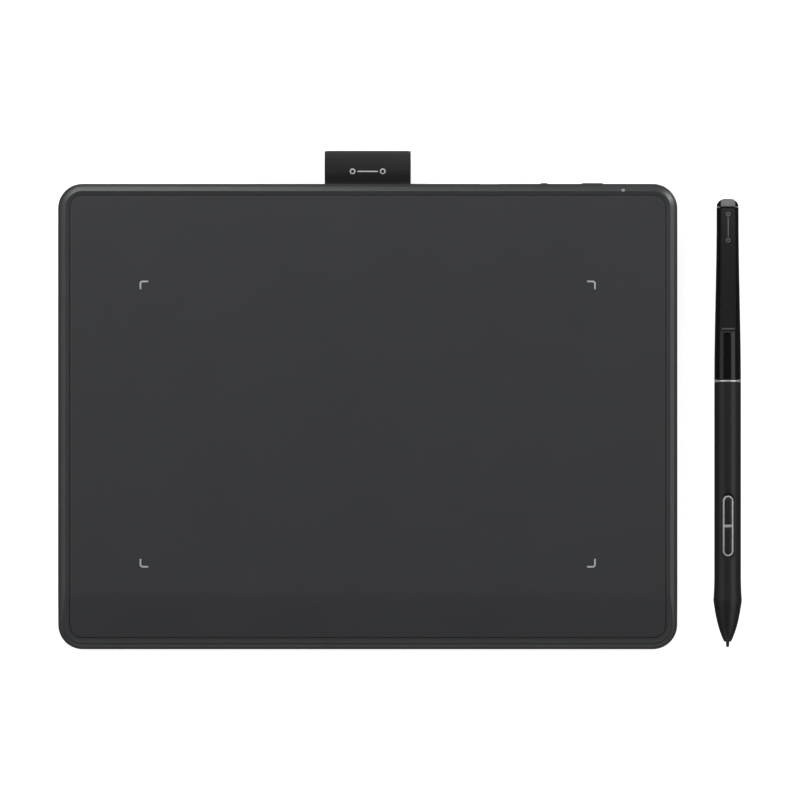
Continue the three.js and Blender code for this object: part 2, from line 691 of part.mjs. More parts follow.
// A flat cable from the sensor board's underside down to the connector on the main board.
function sensorRibbon() {
  const thick = 0.2;
  const top = sensorUnderside - GLUE;
  const low = boardTop + 1.4;
  const rear = Math.max(shieldRear + 5, connectorY + 4);
  const front = connectorY + 2.3;
  const shape = new THREE.Shape();
  shape.moveTo(shieldRear + 0.6, top);
  shape.lineTo(rear, top);
  shape.quadraticCurveTo(rear + 2.2, top, rear + 2.2, (top + low) / 2);
  shape.quadraticCurveTo(rear + 2.2, low - thick, rear, low - thick);
  shape.lineTo(front, low - thick);
  shape.lineTo(front, low);
  shape.lineTo(rear, low);
  shape.quadraticCurveTo(rear + 2.2 - thick, low, rear + 2.2 - thick, (top + low) / 2);
  shape.quadraticCurveTo(rear + 2.2 - thick, top - thick, rear, top - thick);
  shape.lineTo(shieldRear + 0.6, top - thick);
  shape.closePath();
  return extrudeSideways(shape, connectorX - 7, connectorX + 7, 4);
}

// The battery lies in the middle of the left half, in front of the loop and the main board.
const batteryBack = board.front - 8;
const batteryX = -halfWidth / 2 + 10;

function battery() {
  const { width, depth, thickness } = BATTERY;
  const low = floorTop + 0.25;
  return box(batteryX - width / 2, batteryX + width / 2, batteryBack - depth, batteryBack,
    low, low + thickness);
}

function batteryTape() {
  const { width, depth } = BATTERY;
  return box(batteryX - width / 3, batteryX + width / 3, batteryBack - depth + 6, batteryBack - 6,
    floorTop + 0.02, floorTop + 0.2);
}

const leadSocket = new THREE.Vector3(board.left + 8, connectorY - 1, boardTop + 1.0);

// One of the battery's two leads, along the floor to the socket on the main board.
function batteryLead(side) {
  const radius = 0.45;
  const shift = side * 0.75;
  const height = floorTop + 1.6;
  const leaves = batteryX + BATTERY.width / 2 - 8;
  const start = new THREE.Vector3(leaves + 2 * shift, batteryBack + 0.4, height);
  const end = leadSocket.clone().add(new THREE.Vector3(shift, -2.2, 0));
  const lane = batteryBack + 3.5 - shift;
  const path = new THREE.CatmullRomCurve3([
    start,
    new THREE.Vector3(start.x, start.y + 1.2, height),
    new THREE.Vector3(start.x + 3, lane, height),
    new THREE.Vector3((start.x + end.x) / 2, lane, height + 0.3),
    new THREE.Vector3(end.x - 3, lane, end.z),
    new THREE.Vector3(end.x, end.y - 1.2, end.z),
    end,
  ]);
  const section = new THREE.Shape();
  section.absarc(0, 0, radius, 0, Math.PI * 2, false);
  const options = { steps: 22, curveSegments: 4, bevelEnabled: false, extrudePath: path };
  return new THREE.ExtrudeGeometry(section, options);
}

function buildTablet() {
  add(tablet, 'top_shell', topShell(), materials.casePlastic);
  add(tablet, 'drawing_surface', drawingSurface(), materials.surfaceFilm);
  add(tablet, 'bottom_cover', bottomCover(), materials.basePlastic);
  add(tablet, 'rating_label', ratingLabel(), materials.label);
  feet.forEach(({ x, y }) => {
    const name = `foot_${y < 0 ? 'front' : 'rear'}_${x < 0 ? 'left' : 'right'}`;
    add(tablet, name, foot().translate(x, y, 0), materials.rubber);
  });
  const caseScrewLength = ledgeUnderside - screwSeat - 0.4;
  caseScrews.forEach(({ x, y }, i) => {
    const name = `case_screw_${['rear', 'middle', 'front'][i % 3]}_${x < 0 ? 'left' : 'right'}`;
    const seated = placedScrew(caseScrewLength, x, y, screwSeat - SEATED);
    add(tablet, name, seated, materials.steel);
  });
  add(tablet, 'pen_loop', penLoop(), materials.ribbon);
  add(tablet, 'loop_clamp', loopClamp(), materials.steel);
  add(tablet, 'loop_spacer', loopSpacer(), materials.epoxy);
  clampScrews.forEach(({ x, y }) => {
    const seated = placedScrew(ledgeUnderside - clampSeat + 0.2, x, y, clampSeat - SEATED);
    add(tablet, `clamp_screw_${x < 0 ? 'left' : 'right'}`, seated, materials.steel);
  });
  add(tablet, 'usb_shell', usbShell(), materials.steel);
  add(tablet, 'usb_tongue', usbTongue(), materials.epoxy);
  add(tablet, 'power_button', powerButton(), materials.keyPlastic);
  add(tablet, 'power_switch', tactSwitch(powerX), materials.epoxy);
  add(tablet, 'pairing_button', pairingButton(), materials.keyPlastic);
  add(tablet, 'pairing_switch', tactSwitch(pairingX), materials.epoxy);
  add(tablet, 'led_lens', ledLens(), materials.lens);
  add(tablet, 'status_led', statusLed(), materials.whitePlastic);
  add(tablet, 'main_board', mainBoard(), materials.circuitBoard);
  boardScrews.forEach((place, i) => {
    add(tablet, `board_screw_${i ? 'right' : 'left'}`, boardScrew(place), materials.steel);
  });
  add(tablet, 'processor', onBoard(board.left + 15, connectorY + 3, 7, 7, 0.95), materials.epoxy);
  add(tablet, 'radio_module', onBoard(board.left + 43.2, connectorY + 2, 12, 10, 1.9), materials.steel);
  add(tablet, 'ribbon_connector', onBoard(connectorX, connectorY, 16, 4, 1.2), materials.whitePlastic);
  add(tablet, 'battery_socket', onBoard(leadSocket.x, leadSocket.y, 4.4, 4, 2.2), materials.whitePlastic);
  add(tablet, 'sensor_ribbon', sensorRibbon(), materials.film);
  add(tablet, 'sensor_board', sensorBoard(), materials.circuitBoard);
  add(tablet, 'shield_plate', shieldPlate(), materials.steel);
  add(tablet, 'battery', battery(), materials.foil);
  add(tablet, 'battery_tape', batteryTape(), materials.whitePlastic);
  add(tablet, 'battery_lead_red', batteryLead(1), materials.redWire);
  add(tablet, 'battery_lead_black', batteryLead(-1), materials.blackWire);
}

// ---------------------------------------------------------------- pen

const penGap = SEATED; // between turned parts that butt
const headEnd = PEN_LENGTH - END_CAP_LENGTH;
const frameEnd = PEN_RING_START - SPIGOT_LENGTH - SEAM;
const holderEnd = NIB_LENGTH + HOLDER_BACK;
const sensorStart = holderEnd + NIB_TRAVEL + GLUE;
const sensorEnd = sensorStart + SENSOR_LENGTH;
const recessFloor = PEN_GRIP_RADIUS - RECESS_DEPTH;
const keyFoot = PEN_BORE - KEY_FOOT_DEPTH;
const sensorRadius = keyFoot - 0.15;
const clipPivot = headEnd - CLIP_PIVOT_BACK;
const pivotHeight = PEN_HEAD_RADIUS - CLIP_PIVOT_DEPTH;
const clipEnd = clipPivot - CLIP_REACH;
const penHeight = Math.max(PEN_SHOULDER_RADIUS, PEN_GRIP_RADIUS + RING_PROUD);
const ringEnd = PEN_RING_START + PEN_RING;
const spigotRadius = PEN_BORE - GLUE;

// Radius of the nose, a quadratic curve from its tip to the shoulder.
function noseRadius(along) {
  const curve = new THREE.QuadraticBezierCurve(
    new THREE.Vector2(NOSE_ROUND_END, PEN_TIP_RADIUS),
    new THREE.Vector2(...NOSE_BELLY),
    new THREE.Vector2(PEN_SHOULDER, PEN_SHOULDER_RADIUS),
  );
  const a = curve.v0.x - 2 * curve.v1.x + curve.v2.x;
  const b = 2 * (curve.v1.x - curve.v0.x);
  const c = curve.v0.x - along;
  return curve.getPoint((-b + Math.sqrt(b * b - 4 * a * c)) / (2 * a)).y;
}

// Radius of the grip, which eases out of the shoulder and is then straight up to the ring.
function gripRadius(along) {
  const rest = Math.max(0, (PEN_GRIP_START - along) / (PEN_GRIP_START - PEN_SHOULDER));
  return PEN_GRIP_RADIUS + (PEN_SHOULDER_RADIUS - PEN_GRIP_RADIUS) * rest ** 2;
}

// Radius of the upper barrel, which narrows from the ring to the end cap.
function headRadius(along) {
  const share = THREE.MathUtils.smoothstep(along, PEN_RING_START, headEnd - 4);
  return THREE.MathUtils.lerp(PEN_GRIP_RADIUS, PEN_HEAD_RADIUS, share);
}

// Points of a skin between two distances from the tip.
function skin(radiusAt, from, to, steps) {
  return Array.from({ length: steps + 1 }, (_, i) => {
    const along = from + ((to - from) * i) / steps;
    return [along, radiusAt(along)];
  });
}

// A quarter of an ellipse from a full radius down to the axis, or up from it.
function dome(base, radius, tip, steps = 6) {
  return Array.from({ length: steps + 1 }, (_, i) => {
    const angle = (Math.PI / 2) * (i / steps);
    const onAxis = i === steps;
    return [base + (tip - base) * Math.sin(angle), onAxis ? 0 : radius * Math.cos(angle)];
  });
}

function noseCone() {
  const channel = NIB_RADIUS + RUNNING;
  return turned([
    [PEN_NOSE_START, channel],
    [PEN_NOSE_START, channel + 0.25],
    ...skin(noseRadius, NOSE_ROUND_END, PEN_NOSE_END, 7),
    [PEN_NOSE_END, spigotRadius],
    [NOSE_SPIGOT_END, spigotRadius],
    [NOSE_SPIGOT_END, COIL_RADIUS + 2 * GLUE],
    [NOSE_CHAMBER, COIL_RADIUS + 2 * GLUE],
    [NOSE_CHAMBER - 1, channel],
  ]);
}

function nib() {
  return turned([
    ...dome(NIB_RADIUS, NIB_RADIUS, 0, 4).reverse(),
    [NIB_LENGTH, NIB_RADIUS],
    [NIB_LENGTH, 0],
  ], FINE_ROUND);
}

// A cup that grips the nib's rear end and passes its push on to the pressure sensor.
function nibHolder() {
  const bore = NIB_RADIUS + GLUE;
  return turned([
    [NIB_LENGTH + GLUE, 0],
    [NIB_LENGTH + GLUE, bore],
    [NIB_LENGTH - HOLDER_GRIP, bore],
    [NIB_LENGTH - HOLDER_GRIP, HOLDER_RADIUS],
    [holderEnd, HOLDER_RADIUS],
    [holderEnd, 0],
  ], FINE_ROUND);
}

function ring(start, end, inside, outside, sides = FINE_ROUND) {
  return turned([[start, inside], [start, outside], [end, outside], [end, inside]], sides);
}

// A key's outline in plan: square towards the crossbar, round at the far end.
function keyOutline(side, margin) {
  const width = PEN_KEYS_WIDTH - 2 * BEZEL_LINE - 2 * margin;
  const near = BEZEL_BAR / 2 + margin;
  const far = PEN_KEYS_LENGTH / 2 - BEZEL_LINE - margin - width / 2;
  const shape = new THREE.Shape();
  shape.moveTo(width / 2, side * near);
  shape.lineTo(width / 2, side * far);
  shape.absarc(0, side * far, width / 2, 0, Math.PI, side < 0);
  shape.lineTo(-width / 2, side * near);
  shape.closePath();
  return shape;
}

const atKeys = (geometry) => geometry.translate(0, PEN_KEYS_MIDDLE, 0);
const bezelTop = PEN_GRIP_RADIUS - BEZEL_BELOW_CREST;
const bezelFoot = bezelTop - BEZEL_THICKNESS;

function lowerBarrel() {
  const start = PEN_NOSE_END + penGap;
  const end = PEN_RING_START - penGap;
  const tube = turned([
    ...skin(noseRadius, start, PEN_SHOULDER, 2),
    ...skin(gripRadius, PEN_SHOULDER + 1.5, PEN_GRIP_START, 4),
    [end, PEN_GRIP_RADIUS],
    [end, PEN_BORE],
    [start, PEN_BORE],
  ]);
  const margin = 2 * PEN_RECESS_MARGIN;
  const recess = stadium(PEN_KEYS_WIDTH + margin, PEN_KEYS_LENGTH + margin + 0.8);
  const pocket = stadium(PEN_KEYS_WIDTH + 2 * GLUE, PEN_KEYS_LENGTH + 2 * GLUE);
  const slot = stadium(PEN_KEYS_WIDTH - BEZEL_LINE, PEN_KEYS_LENGTH - BEZEL_LINE);
  const above = PEN_SHOULDER_RADIUS + 1;
  return cut(
    toSolid(tube),
    atKeys(extrudeUp(recess, recessFloor, above)),
    atKeys(extrudeUp(pocket, bezelFoot - penGap, above)),
    atKeys(extrudeUp(slot, 1, above)),
  );
}

function buttonBezel() {
  const shape = stadium(PEN_KEYS_WIDTH, PEN_KEYS_LENGTH);
  shape.holes.push(...[-1, 1].map((side) => new THREE.Path(keyOutline(side, 0).getPoints(6))));
  return atKeys(extrudeUp(shape, bezelFoot, bezelTop));
}

// A key stands proud of the bezel. Its flange stays inside the barrel and keeps it from falling out.
function penKey(side) {
  const flangeTop = keyFoot + 0.5;
  const nearEnd = BEZEL_BAR / 2 + PEN_KEY_GAP;
  const farEnd = PEN_KEYS_LENGTH / 2;
  const [y0, y1] = [side * nearEnd, side * farEnd].sort((p, q) => p - q);
  const half = 1.6;
  const face = PEN_GRIP_RADIUS + PEN_KEY_PROUD;
  const body = toSolid(extrudeUp(keyOutline(side, PEN_KEY_GAP), keyFoot, face));
  return toGeometry(join(body, box(-half, half, y0, y1, keyFoot, flangeTop)))
    .translate(0, PEN_KEYS_MIDDLE, 0);
}

const penBoardTop = FRAME_EDGE + SEATED + PEN_BOARD;

function keySwitch(side) {
  const y = PEN_KEYS_MIDDLE + side * (PEN_KEYS_LENGTH / 4);
  const top = keyFoot - PEN_KEY_TRAVEL - GLUE;
  return join(
    toSolid(box(-1.6, 1.6, y - 1.6, y + 1.6, penBoardTop + SEATED, top - 0.25)),
    pillar(0, y, top - 0.5, top, 0.7),
  );
}

// A half-round channel that holds the sensor and the circuit board.
function innerFrame() {
  const outer = spigotRadius - GLUE;
  const inner = outer - 0.7;
  const edge = (radius) => Math.asin(FRAME_EDGE / radius);
  const shape = new THREE.Shape();
  shape.absarc(0, 0, outer, edge(outer), Math.PI - edge(outer), true);
  shape.absarc(0, 0, inner, Math.PI - edge(inner), edge(inner), false);
  shape.closePath();
  return extrudeForward(shape, 0, 0, frameEnd, NOSE_SPIGOT_END + GLUE);
}

function penBoard() {
  const half = Math.sqrt((spigotRadius - GLUE) ** 2 - penBoardTop ** 2) - 2 * GLUE;
  return box(-half, half, sensorEnd + 1, frameEnd - 1, FRAME_EDGE + SEATED, penBoardTop);
}

function upperBarrel() {
  const start = ringEnd + penGap;
  const tube = turned([
    [PEN_RING_START - SPIGOT_LENGTH, PEN_HEAD_BORE],
    [PEN_RING_START - SPIGOT_LENGTH, spigotRadius],
    [start, spigotRadius],
    ...skin(headRadius, start, headEnd, 8),
    [headEnd, PEN_HEAD_BORE],
  ]);
  const half = CLIP_ROOT_WIDTH / 2 + SEAM;
  const rootSlot = box(-half, half, clipPivot - 2.5, clipPivot + 2, 1.5, PEN_SHOULDER_RADIUS);
  return cut(toSolid(tube), rootSlot);
}

function endCap() {
  const start = headEnd + 0.15;
  const plugRadius = PEN_HEAD_BORE - GLUE;
  return turned([
    [start - 1.1, 0],
    [start - 1.1, plugRadius],
    [start, plugRadius],
    ...dome(start, headRadius(headEnd), PEN_LENGTH),
  ]);
}

// The clip's spring plate lies over the upper barrel. Its free end turns down towards the barrel, and a
// root at its other end reaches through a slot in the barrel to the line that it bends about.
const clipUnderside = (along) => {
  const low = headRadius(clipPivot) + CLIP_STANDOFF;
  const high = headRadius(clipEnd) + CLIP_STANDOFF;
  return THREE.MathUtils.mapLinear(along, clipPivot, clipEnd, low, high);
};

function clip() {
  const tipUnder = headRadius(clipEnd) + SEAM;
  const rear = headEnd - 0.1;
  const shape = new THREE.Shape();
  shape.moveTo(rear, clipUnderside(rear));
  shape.lineTo(rear, clipUnderside(rear) + CLIP_THICKNESS - 0.3);
  shape.lineTo(rear - 0.4, clipUnderside(rear) + CLIP_THICKNESS);
  shape.lineTo(clipEnd + 0.8, clipUnderside(clipEnd) + CLIP_THICKNESS);
  shape.lineTo(clipEnd - 0.7, tipUnder + 0.5);
  shape.lineTo(clipEnd - 0.7, tipUnder);
  shape.lineTo(clipEnd + 0.4, tipUnder);
  shape.lineTo(clipEnd + 1.4, clipUnderside(clipEnd + 1.4));
  shape.closePath();
  const half = CLIP_ROOT_WIDTH / 2;
  const knuckle = new THREE.CylinderGeometry(KNUCKLE_RADIUS, KNUCKLE_RADIUS, CLIP_ROOT_WIDTH, FINE_ROUND)
    .rotateZ(Math.PI / 2)
    .translate(0, clipPivot, pivotHeight);
  const root = box(-half, half, clipPivot - KNUCKLE_RADIUS, clipPivot + KNUCKLE_RADIUS,
    pivotHeight, clipUnderside(clipPivot) + CLIP_THICKNESS / 2);
  return join(toSolid(extrudeSideways(shape, -CLIP_WIDTH / 2, CLIP_WIDTH / 2)), root, knuckle);
}

function buildPen() {
  add(pen, 'nose_cone', noseCone(), materials.penMatte);
  add(pen, 'nib', nib(), materials.nibPlastic);
  add(pen, 'nib_holder', nibHolder(), materials.whitePlastic);
  const coreRadius = COIL_RADIUS - 0.6;
  const chamberEnd = Math.min(NOSE_SPIGOT_END, NIB_LENGTH - HOLDER_GRIP) - 1;
  const core = ring(NOSE_CHAMBER + 0.5, chamberEnd, NIB_RADIUS + SEAM, coreRadius);
  const coil = ring(NOSE_CHAMBER + 1.5, chamberEnd - 1, coreRadius + GLUE, COIL_RADIUS);
  add(pen, 'ferrite_core', core, materials.ferrite);
  add(pen, 'coil', coil, materials.copper);
  add(pen, 'lower_barrel', lowerBarrel(), materials.penMatte);
  add(pen, 'button_bezel', buttonBezel(), materials.silver);
  for (const side of [-1, 1]) {
    const name = side < 0 ? 'front' : 'rear';
    add(pen, `${name}_button`, penKey(side), materials.penMatte);
    add(pen, `${name}_switch`, keySwitch(side), materials.epoxy);
  }
  add(pen, 'pressure_sensor', turned([
    [sensorStart, 0],
    [sensorStart, HOLDER_RADIUS],
    [sensorStart + 0.8, sensorRadius],
    [sensorEnd, sensorRadius],
    [sensorEnd, 0],
  ], FINE_ROUND), materials.steel);
  add(pen, 'pen_board', penBoard(), materials.circuitBoard);
  add(pen, 'inner_frame', innerFrame(), materials.epoxy);
  const accent = ring(PEN_RING_START, ringEnd, PEN_BORE, PEN_GRIP_RADIUS + RING_PROUD, ROUND);
  add(pen, 'accent_ring', accent, materials.silver);
  add(pen, 'upper_barrel', upperBarrel(), materials.penGloss);
  add(pen, 'clip', clip(), materials.penGloss);
  add(pen, 'end_cap', endCap(), materials.keyPlastic);
}

// ---------------------------------------------------------------- the set on the desk

buildTablet();
buildPen();

const penX = halfWidth + PEN_CLEAR_OF_CASE + penHeight;
pen.position.set(penX, -halfDepth + PEN_TIP_BEHIND_FRONT, penHeight);

const set = new THREE.Group();
set.add(tablet, pen);
set.position.set((halfWidth - penX - penHeight) / 2, -LOOP_REACH / 2, 0);

export default set;
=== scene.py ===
"""Looks of a pen drawing tablet and its battery-free pen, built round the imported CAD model.

Sizes are in millimetres until a mesh is made, which turns them into the frame's metres. +Z is up, the
tablet's rear edge faces +Y, and the pen lies along Y on its right with its tip towards -Y."""

from math import acos, atan2, cos, hypot, pi, radians, sin, sqrt, tan

import bmesh
import bpy
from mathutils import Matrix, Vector


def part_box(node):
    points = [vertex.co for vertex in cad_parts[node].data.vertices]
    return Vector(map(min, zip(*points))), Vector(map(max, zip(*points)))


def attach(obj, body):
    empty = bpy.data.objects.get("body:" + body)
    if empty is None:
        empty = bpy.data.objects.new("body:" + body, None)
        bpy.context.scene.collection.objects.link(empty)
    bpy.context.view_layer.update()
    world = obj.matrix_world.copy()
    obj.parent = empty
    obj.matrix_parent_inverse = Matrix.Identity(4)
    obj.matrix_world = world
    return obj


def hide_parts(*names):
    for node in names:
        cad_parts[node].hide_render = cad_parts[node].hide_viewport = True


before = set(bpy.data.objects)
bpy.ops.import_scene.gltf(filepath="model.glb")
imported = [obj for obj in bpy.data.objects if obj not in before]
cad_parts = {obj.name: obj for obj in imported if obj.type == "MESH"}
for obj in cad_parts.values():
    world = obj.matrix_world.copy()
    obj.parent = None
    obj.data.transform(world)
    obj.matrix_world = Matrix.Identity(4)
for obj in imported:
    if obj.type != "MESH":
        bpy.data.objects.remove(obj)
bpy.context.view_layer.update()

MM = 0.001


def box_mm(node):
    """Lowest and highest corner of a CAD node, in millimetres."""
    return tuple(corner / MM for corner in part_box(node)[:2])


# ---- places, from the frame

case_low, case_high = box_mm("top_shell")
cover_low = box_mm("bottom_cover")[0]
surface_high = box_mm("drawing_surface")[1]
CASE_X = (case_low.x + case_high.x) / 2
CASE_Y = (case_low.y + case_high.y) / 2
HALF_WIDTH = (case_high.x - case_low.x) / 2
HALF_DEPTH = (case_high.y - case_low.y) / 2
REAR = HALF_DEPTH  # the rear wall, from the middle of the case
CREST = case_high.z
SEAM_TOP = case_low.z
ON_CASE = (CASE_X, CASE_Y, 0)

barrel_low, barrel_high = box_mm("lower_barrel")
PEN_X = (barrel_low.x + barrel_high.x) / 2
PEN_Z = (box_mm("nose_cone")[0].z + box_mm("nose_cone")[1].z) / 2
TIP_Y = box_mm("nib")[0].y
ON_PEN = (PEN_X, TIP_Y, PEN_Z)


def middle_of(node):
    """Middle of a CAD node, in the case's own plan: x and y from the case's middle, z from the desk."""
    low, high = box_mm(node)
    return (low + high) / 2 - Vector(ON_CASE)


def size_of(node):
    low, high = box_mm(node)
    return high - low


def in_case(node):
    """Lowest and highest corner of a CAD node in the case's own plan."""
    return [corner - Vector(ON_CASE) for corner in box_mm(node)]


def nodes_named(start):
    return [node for node in sorted(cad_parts) if node.startswith(start)]


# ---- sizes of the case

CORNER_RADIUS = 8.6
INNER_CORNER = 1.5
CORNER_STEPS = 14
WALL = 1.6
RIM = 2.55  # inset of the rim's crest
RIM_DROP = 2.05  # from the crest down to the top of the side wall
RIM_INNER = 3.8  # foot of the rim's inner slope
RIM_INNER_DROP = 0.45
LEDGE = 9.0
LEDGE_THICKNESS = 0.75
SURFACE_EDGE = 4.1
SURFACE_CHAMFER = 0.22
SURFACE_DROP = CREST - surface_high.z
SURFACE_THICKNESS = 1.0
LEDGE_DROP = SURFACE_DROP + SURFACE_THICKNESS + 0.1
FRONT_SLOPE = radians(9)
BEND_Y = -HALF_DEPTH + 21.7
BEND_RADIUS = 7.0 / FRONT_SLOPE
BEND_STEPS = 12
FLOOR_TOP = 2.0
LIP = 1.9  # inset of the lip that stands inside the seam
LIP_HEIGHT = 0.9


def crest(y):
    """Height of the rim's crest: level, then an arc down towards the user, then a straight slope."""
    past = BEND_Y - y
    arc = BEND_RADIUS * sin(FRONT_SLOPE)
    if past <= 0:
        return CREST
    if past < arc:
        return CREST - BEND_RADIUS + sqrt(BEND_RADIUS**2 - past**2)
    arc_drop = BEND_RADIUS * (1 - cos(FRONT_SLOPE))
    return CREST - arc_drop - (past - arc) * tan(FRONT_SLOPE)


def under(drop):
    return lambda y: crest(y) - drop


# ---- lines and meshes


def eased(t):
    """A share from 0 to 1 that starts and ends gently."""
    t = min(max(t, 0), 1)
    return t * t * (3 - 2 * t)


def rounded(corners, steps=4):
    """Points of an open line with corners (a, b, radius), each radius above 0 turned into a curve."""
    points = []
    for i, (a, b, radius) in enumerate(corners):
        here = Vector((a, b))
        if radius <= 0 or i in (0, len(corners) - 1):
            points.append(here)
            continue
        back = Vector(corners[i - 1][:2]) - here
        ahead = Vector(corners[i + 1][:2]) - here
        turn = pi - back.angle(ahead)
        reach = radius * tan(turn / 2)
        start = here + back.normalized() * min(reach, back.length * 0.48)
        end = here + ahead.normalized() * min(reach, ahead.length * 0.48)
        for step in range(steps + 1):
            t = step / steps
            points.append(start * (1 - t) ** 2 + here * 2 * t * (1 - t) + end * t**2)
    return points


def stadium(width, height, inset=0.0, steps=14):
    """A closed outline with fully round ends, anticlockwise, with its middle at the origin."""
    radius = max(min(width, height) / 2 - inset, 0.01)
    half = abs(width - height) / 2
    points = []
    for end in (0, 1):
        for step in range(steps + 1):
            angle = pi * (end + step / steps) - (pi / 2 if width > height else 0)
            x, y = radius * cos(angle), radius * sin(angle)
            shift = half if end == 0 else -half
            points.append((x + shift, y) if width > height else (x, y + shift))
    return points


def case_outline(inset):
    """The case's outline in plan at an inset, anticlockwise, with points where its sides bend."""
    radius = max(CORNER_RADIUS - inset, INNER_CORNER)
    cx = HALF_WIDTH - inset - radius
    cy = HALF_DEPTH - inset - radius
    bend = [
        BEND_Y - BEND_RADIUS * sin(FRONT_SLOPE * step / BEND_STEPS)
        for step in range(BEND_STEPS + 1)
    ]
    right = []
    for corner, side in ((-pi / 2, -1), (0.0, 1)):
        for step in range(CORNER_STEPS + 1):
            angle = corner + pi / 2 * step / CORNER_STEPS
            right.append((cx + radius * cos(angle), side * cy + radius * sin(angle)))
        if side < 0:
            right += [(cx + radius, y) for y in reversed(bend)]
    return mirrored(right)


def ring(points, height, upright="z"):
    """An outline as points in space, its second axis being the third one given by upright."""
    found = []
    for a, b in points:
        h = height(b) if callable(height) else height
        found.append((a, b, h) if upright == "z" else (a, h, b))
    return found


def circle(radius, sides, x=0, y=0):
    turn = [2 * pi * i / sides for i in range(sides)]
    return [(x + radius * cos(a), y + radius * sin(a)) for a in turn]


def mirrored(points):
    """One half of an outline, then its other half in the opposite order, with X turned round."""
    return points + [(-x, *rest) for x, *rest in reversed(points)]


def skin(rings, wrap=False, caps=True, strips=False):
    """A closed mesh through rings of equally many points. With strips, its caps are made of strips
    across, so that they follow a bend along Y."""
    count = len(rings[0])
    vertices = [point for points in rings for point in points]
    faces = []
    for r in range(len(rings) if wrap else len(rings) - 1):
        low, high = r * count, (r + 1) % len(rings) * count
        for i in range(count):
            j = (i + 1) % count
            faces.append((low + i, low + j, high + j, high + i))
    if caps and not wrap:
        last = len(vertices) - count
        if strips:
            for i in range(count // 2 - 1):
                across = count - 1 - i
                faces.append((i, across, across - 1, i + 1))
                faces.append((last + i, last + i + 1, last + across - 1, last + across))
        else:
            faces.append(tuple(reversed(range(count))))
            faces.append(tuple(range(last, last + count)))
    return vertices, faces


def prism(outline, low, high):
    """A solid on an outline, between two heights."""
    return skin([ring(outline, low), ring(outline, high)])


def lathe(profile, sides=96):
    """A solid of revolution about the pen's axis, from points of distance from the tip and radius."""
    rings = [ring(circle(radius, sides), along, "y") for along, radius in profile]
    on_axis = profile[0][1] < 1e-6 and profile[-1][1] < 1e-6
    return skin(rings, wrap=not on_axis, caps=False)


def mesh_of(name, *shapes, offset=ON_CASE, sharp=32):
    """One mesh of closed shapes (vertices, faces) in millimetres, moved by an offset, then in metres."""
    made = bmesh.new()
    for vertices, faces in shapes:
        new = [made.verts.new((Vector(v) + Vector(offset)) * MM) for v in vertices]
        for face in faces:
            corners = [new[i] for i in face]
            if len(set(corners)) > 2:
                made.faces.new(corners)
    bmesh.ops.remove_doubles(made, verts=made.verts, dist=1e-8)
    bmesh.ops.dissolve_degenerate(made, edges=made.edges, dist=1e-8)
    bmesh.ops.recalc_face_normals(made, faces=made.faces)
    mesh = bpy.data.meshes.new(name)
    made.to_mesh(mesh)
    made.free()
    smooth(mesh, sharp)
    return mesh


def smooth(mesh, sharp=32):
    mesh.shade_smooth()
    mesh.set_sharp_from_angle(angle=radians(sharp))


def shown(name, data):
    obj = bpy.data.objects.new(name, data)
    bpy.context.scene.collection.objects.link(obj)
    return obj


def carved(mesh, *cutters, operation="DIFFERENCE", sharp=32):
    """The mesh with other closed meshes cut out of it, or joined to it."""
    body = shown("carved", mesh)
    tools = []
    for cutter in cutters:
        tool = shown("tool", cutter)
        step = body.modifiers.new("step", "BOOLEAN")
        step.operation = operation
        step.solver = "EXACT"
        step.object = tool
        tools.append(tool)
    evaluated = body.evaluated_get(bpy.context.evaluated_depsgraph_get())
    result = bpy.data.meshes.new_from_object(evaluated)
    result.name = mesh.name
    for obj in [body, *tools]:
        bpy.data.objects.remove(obj)
    smooth(result, sharp)
    return result


# ---- materials


def linear(*channels):
    """A colour given in sRGB, 0 to 255, as the linear colour that a shader takes."""
    found = []
    for channel in channels:
        c = channel / 255
        found.append(c / 12.92 if c <= 0.04045 else ((c + 0.055) / 1.055) ** 2.4)
    return (*found, 1.0)


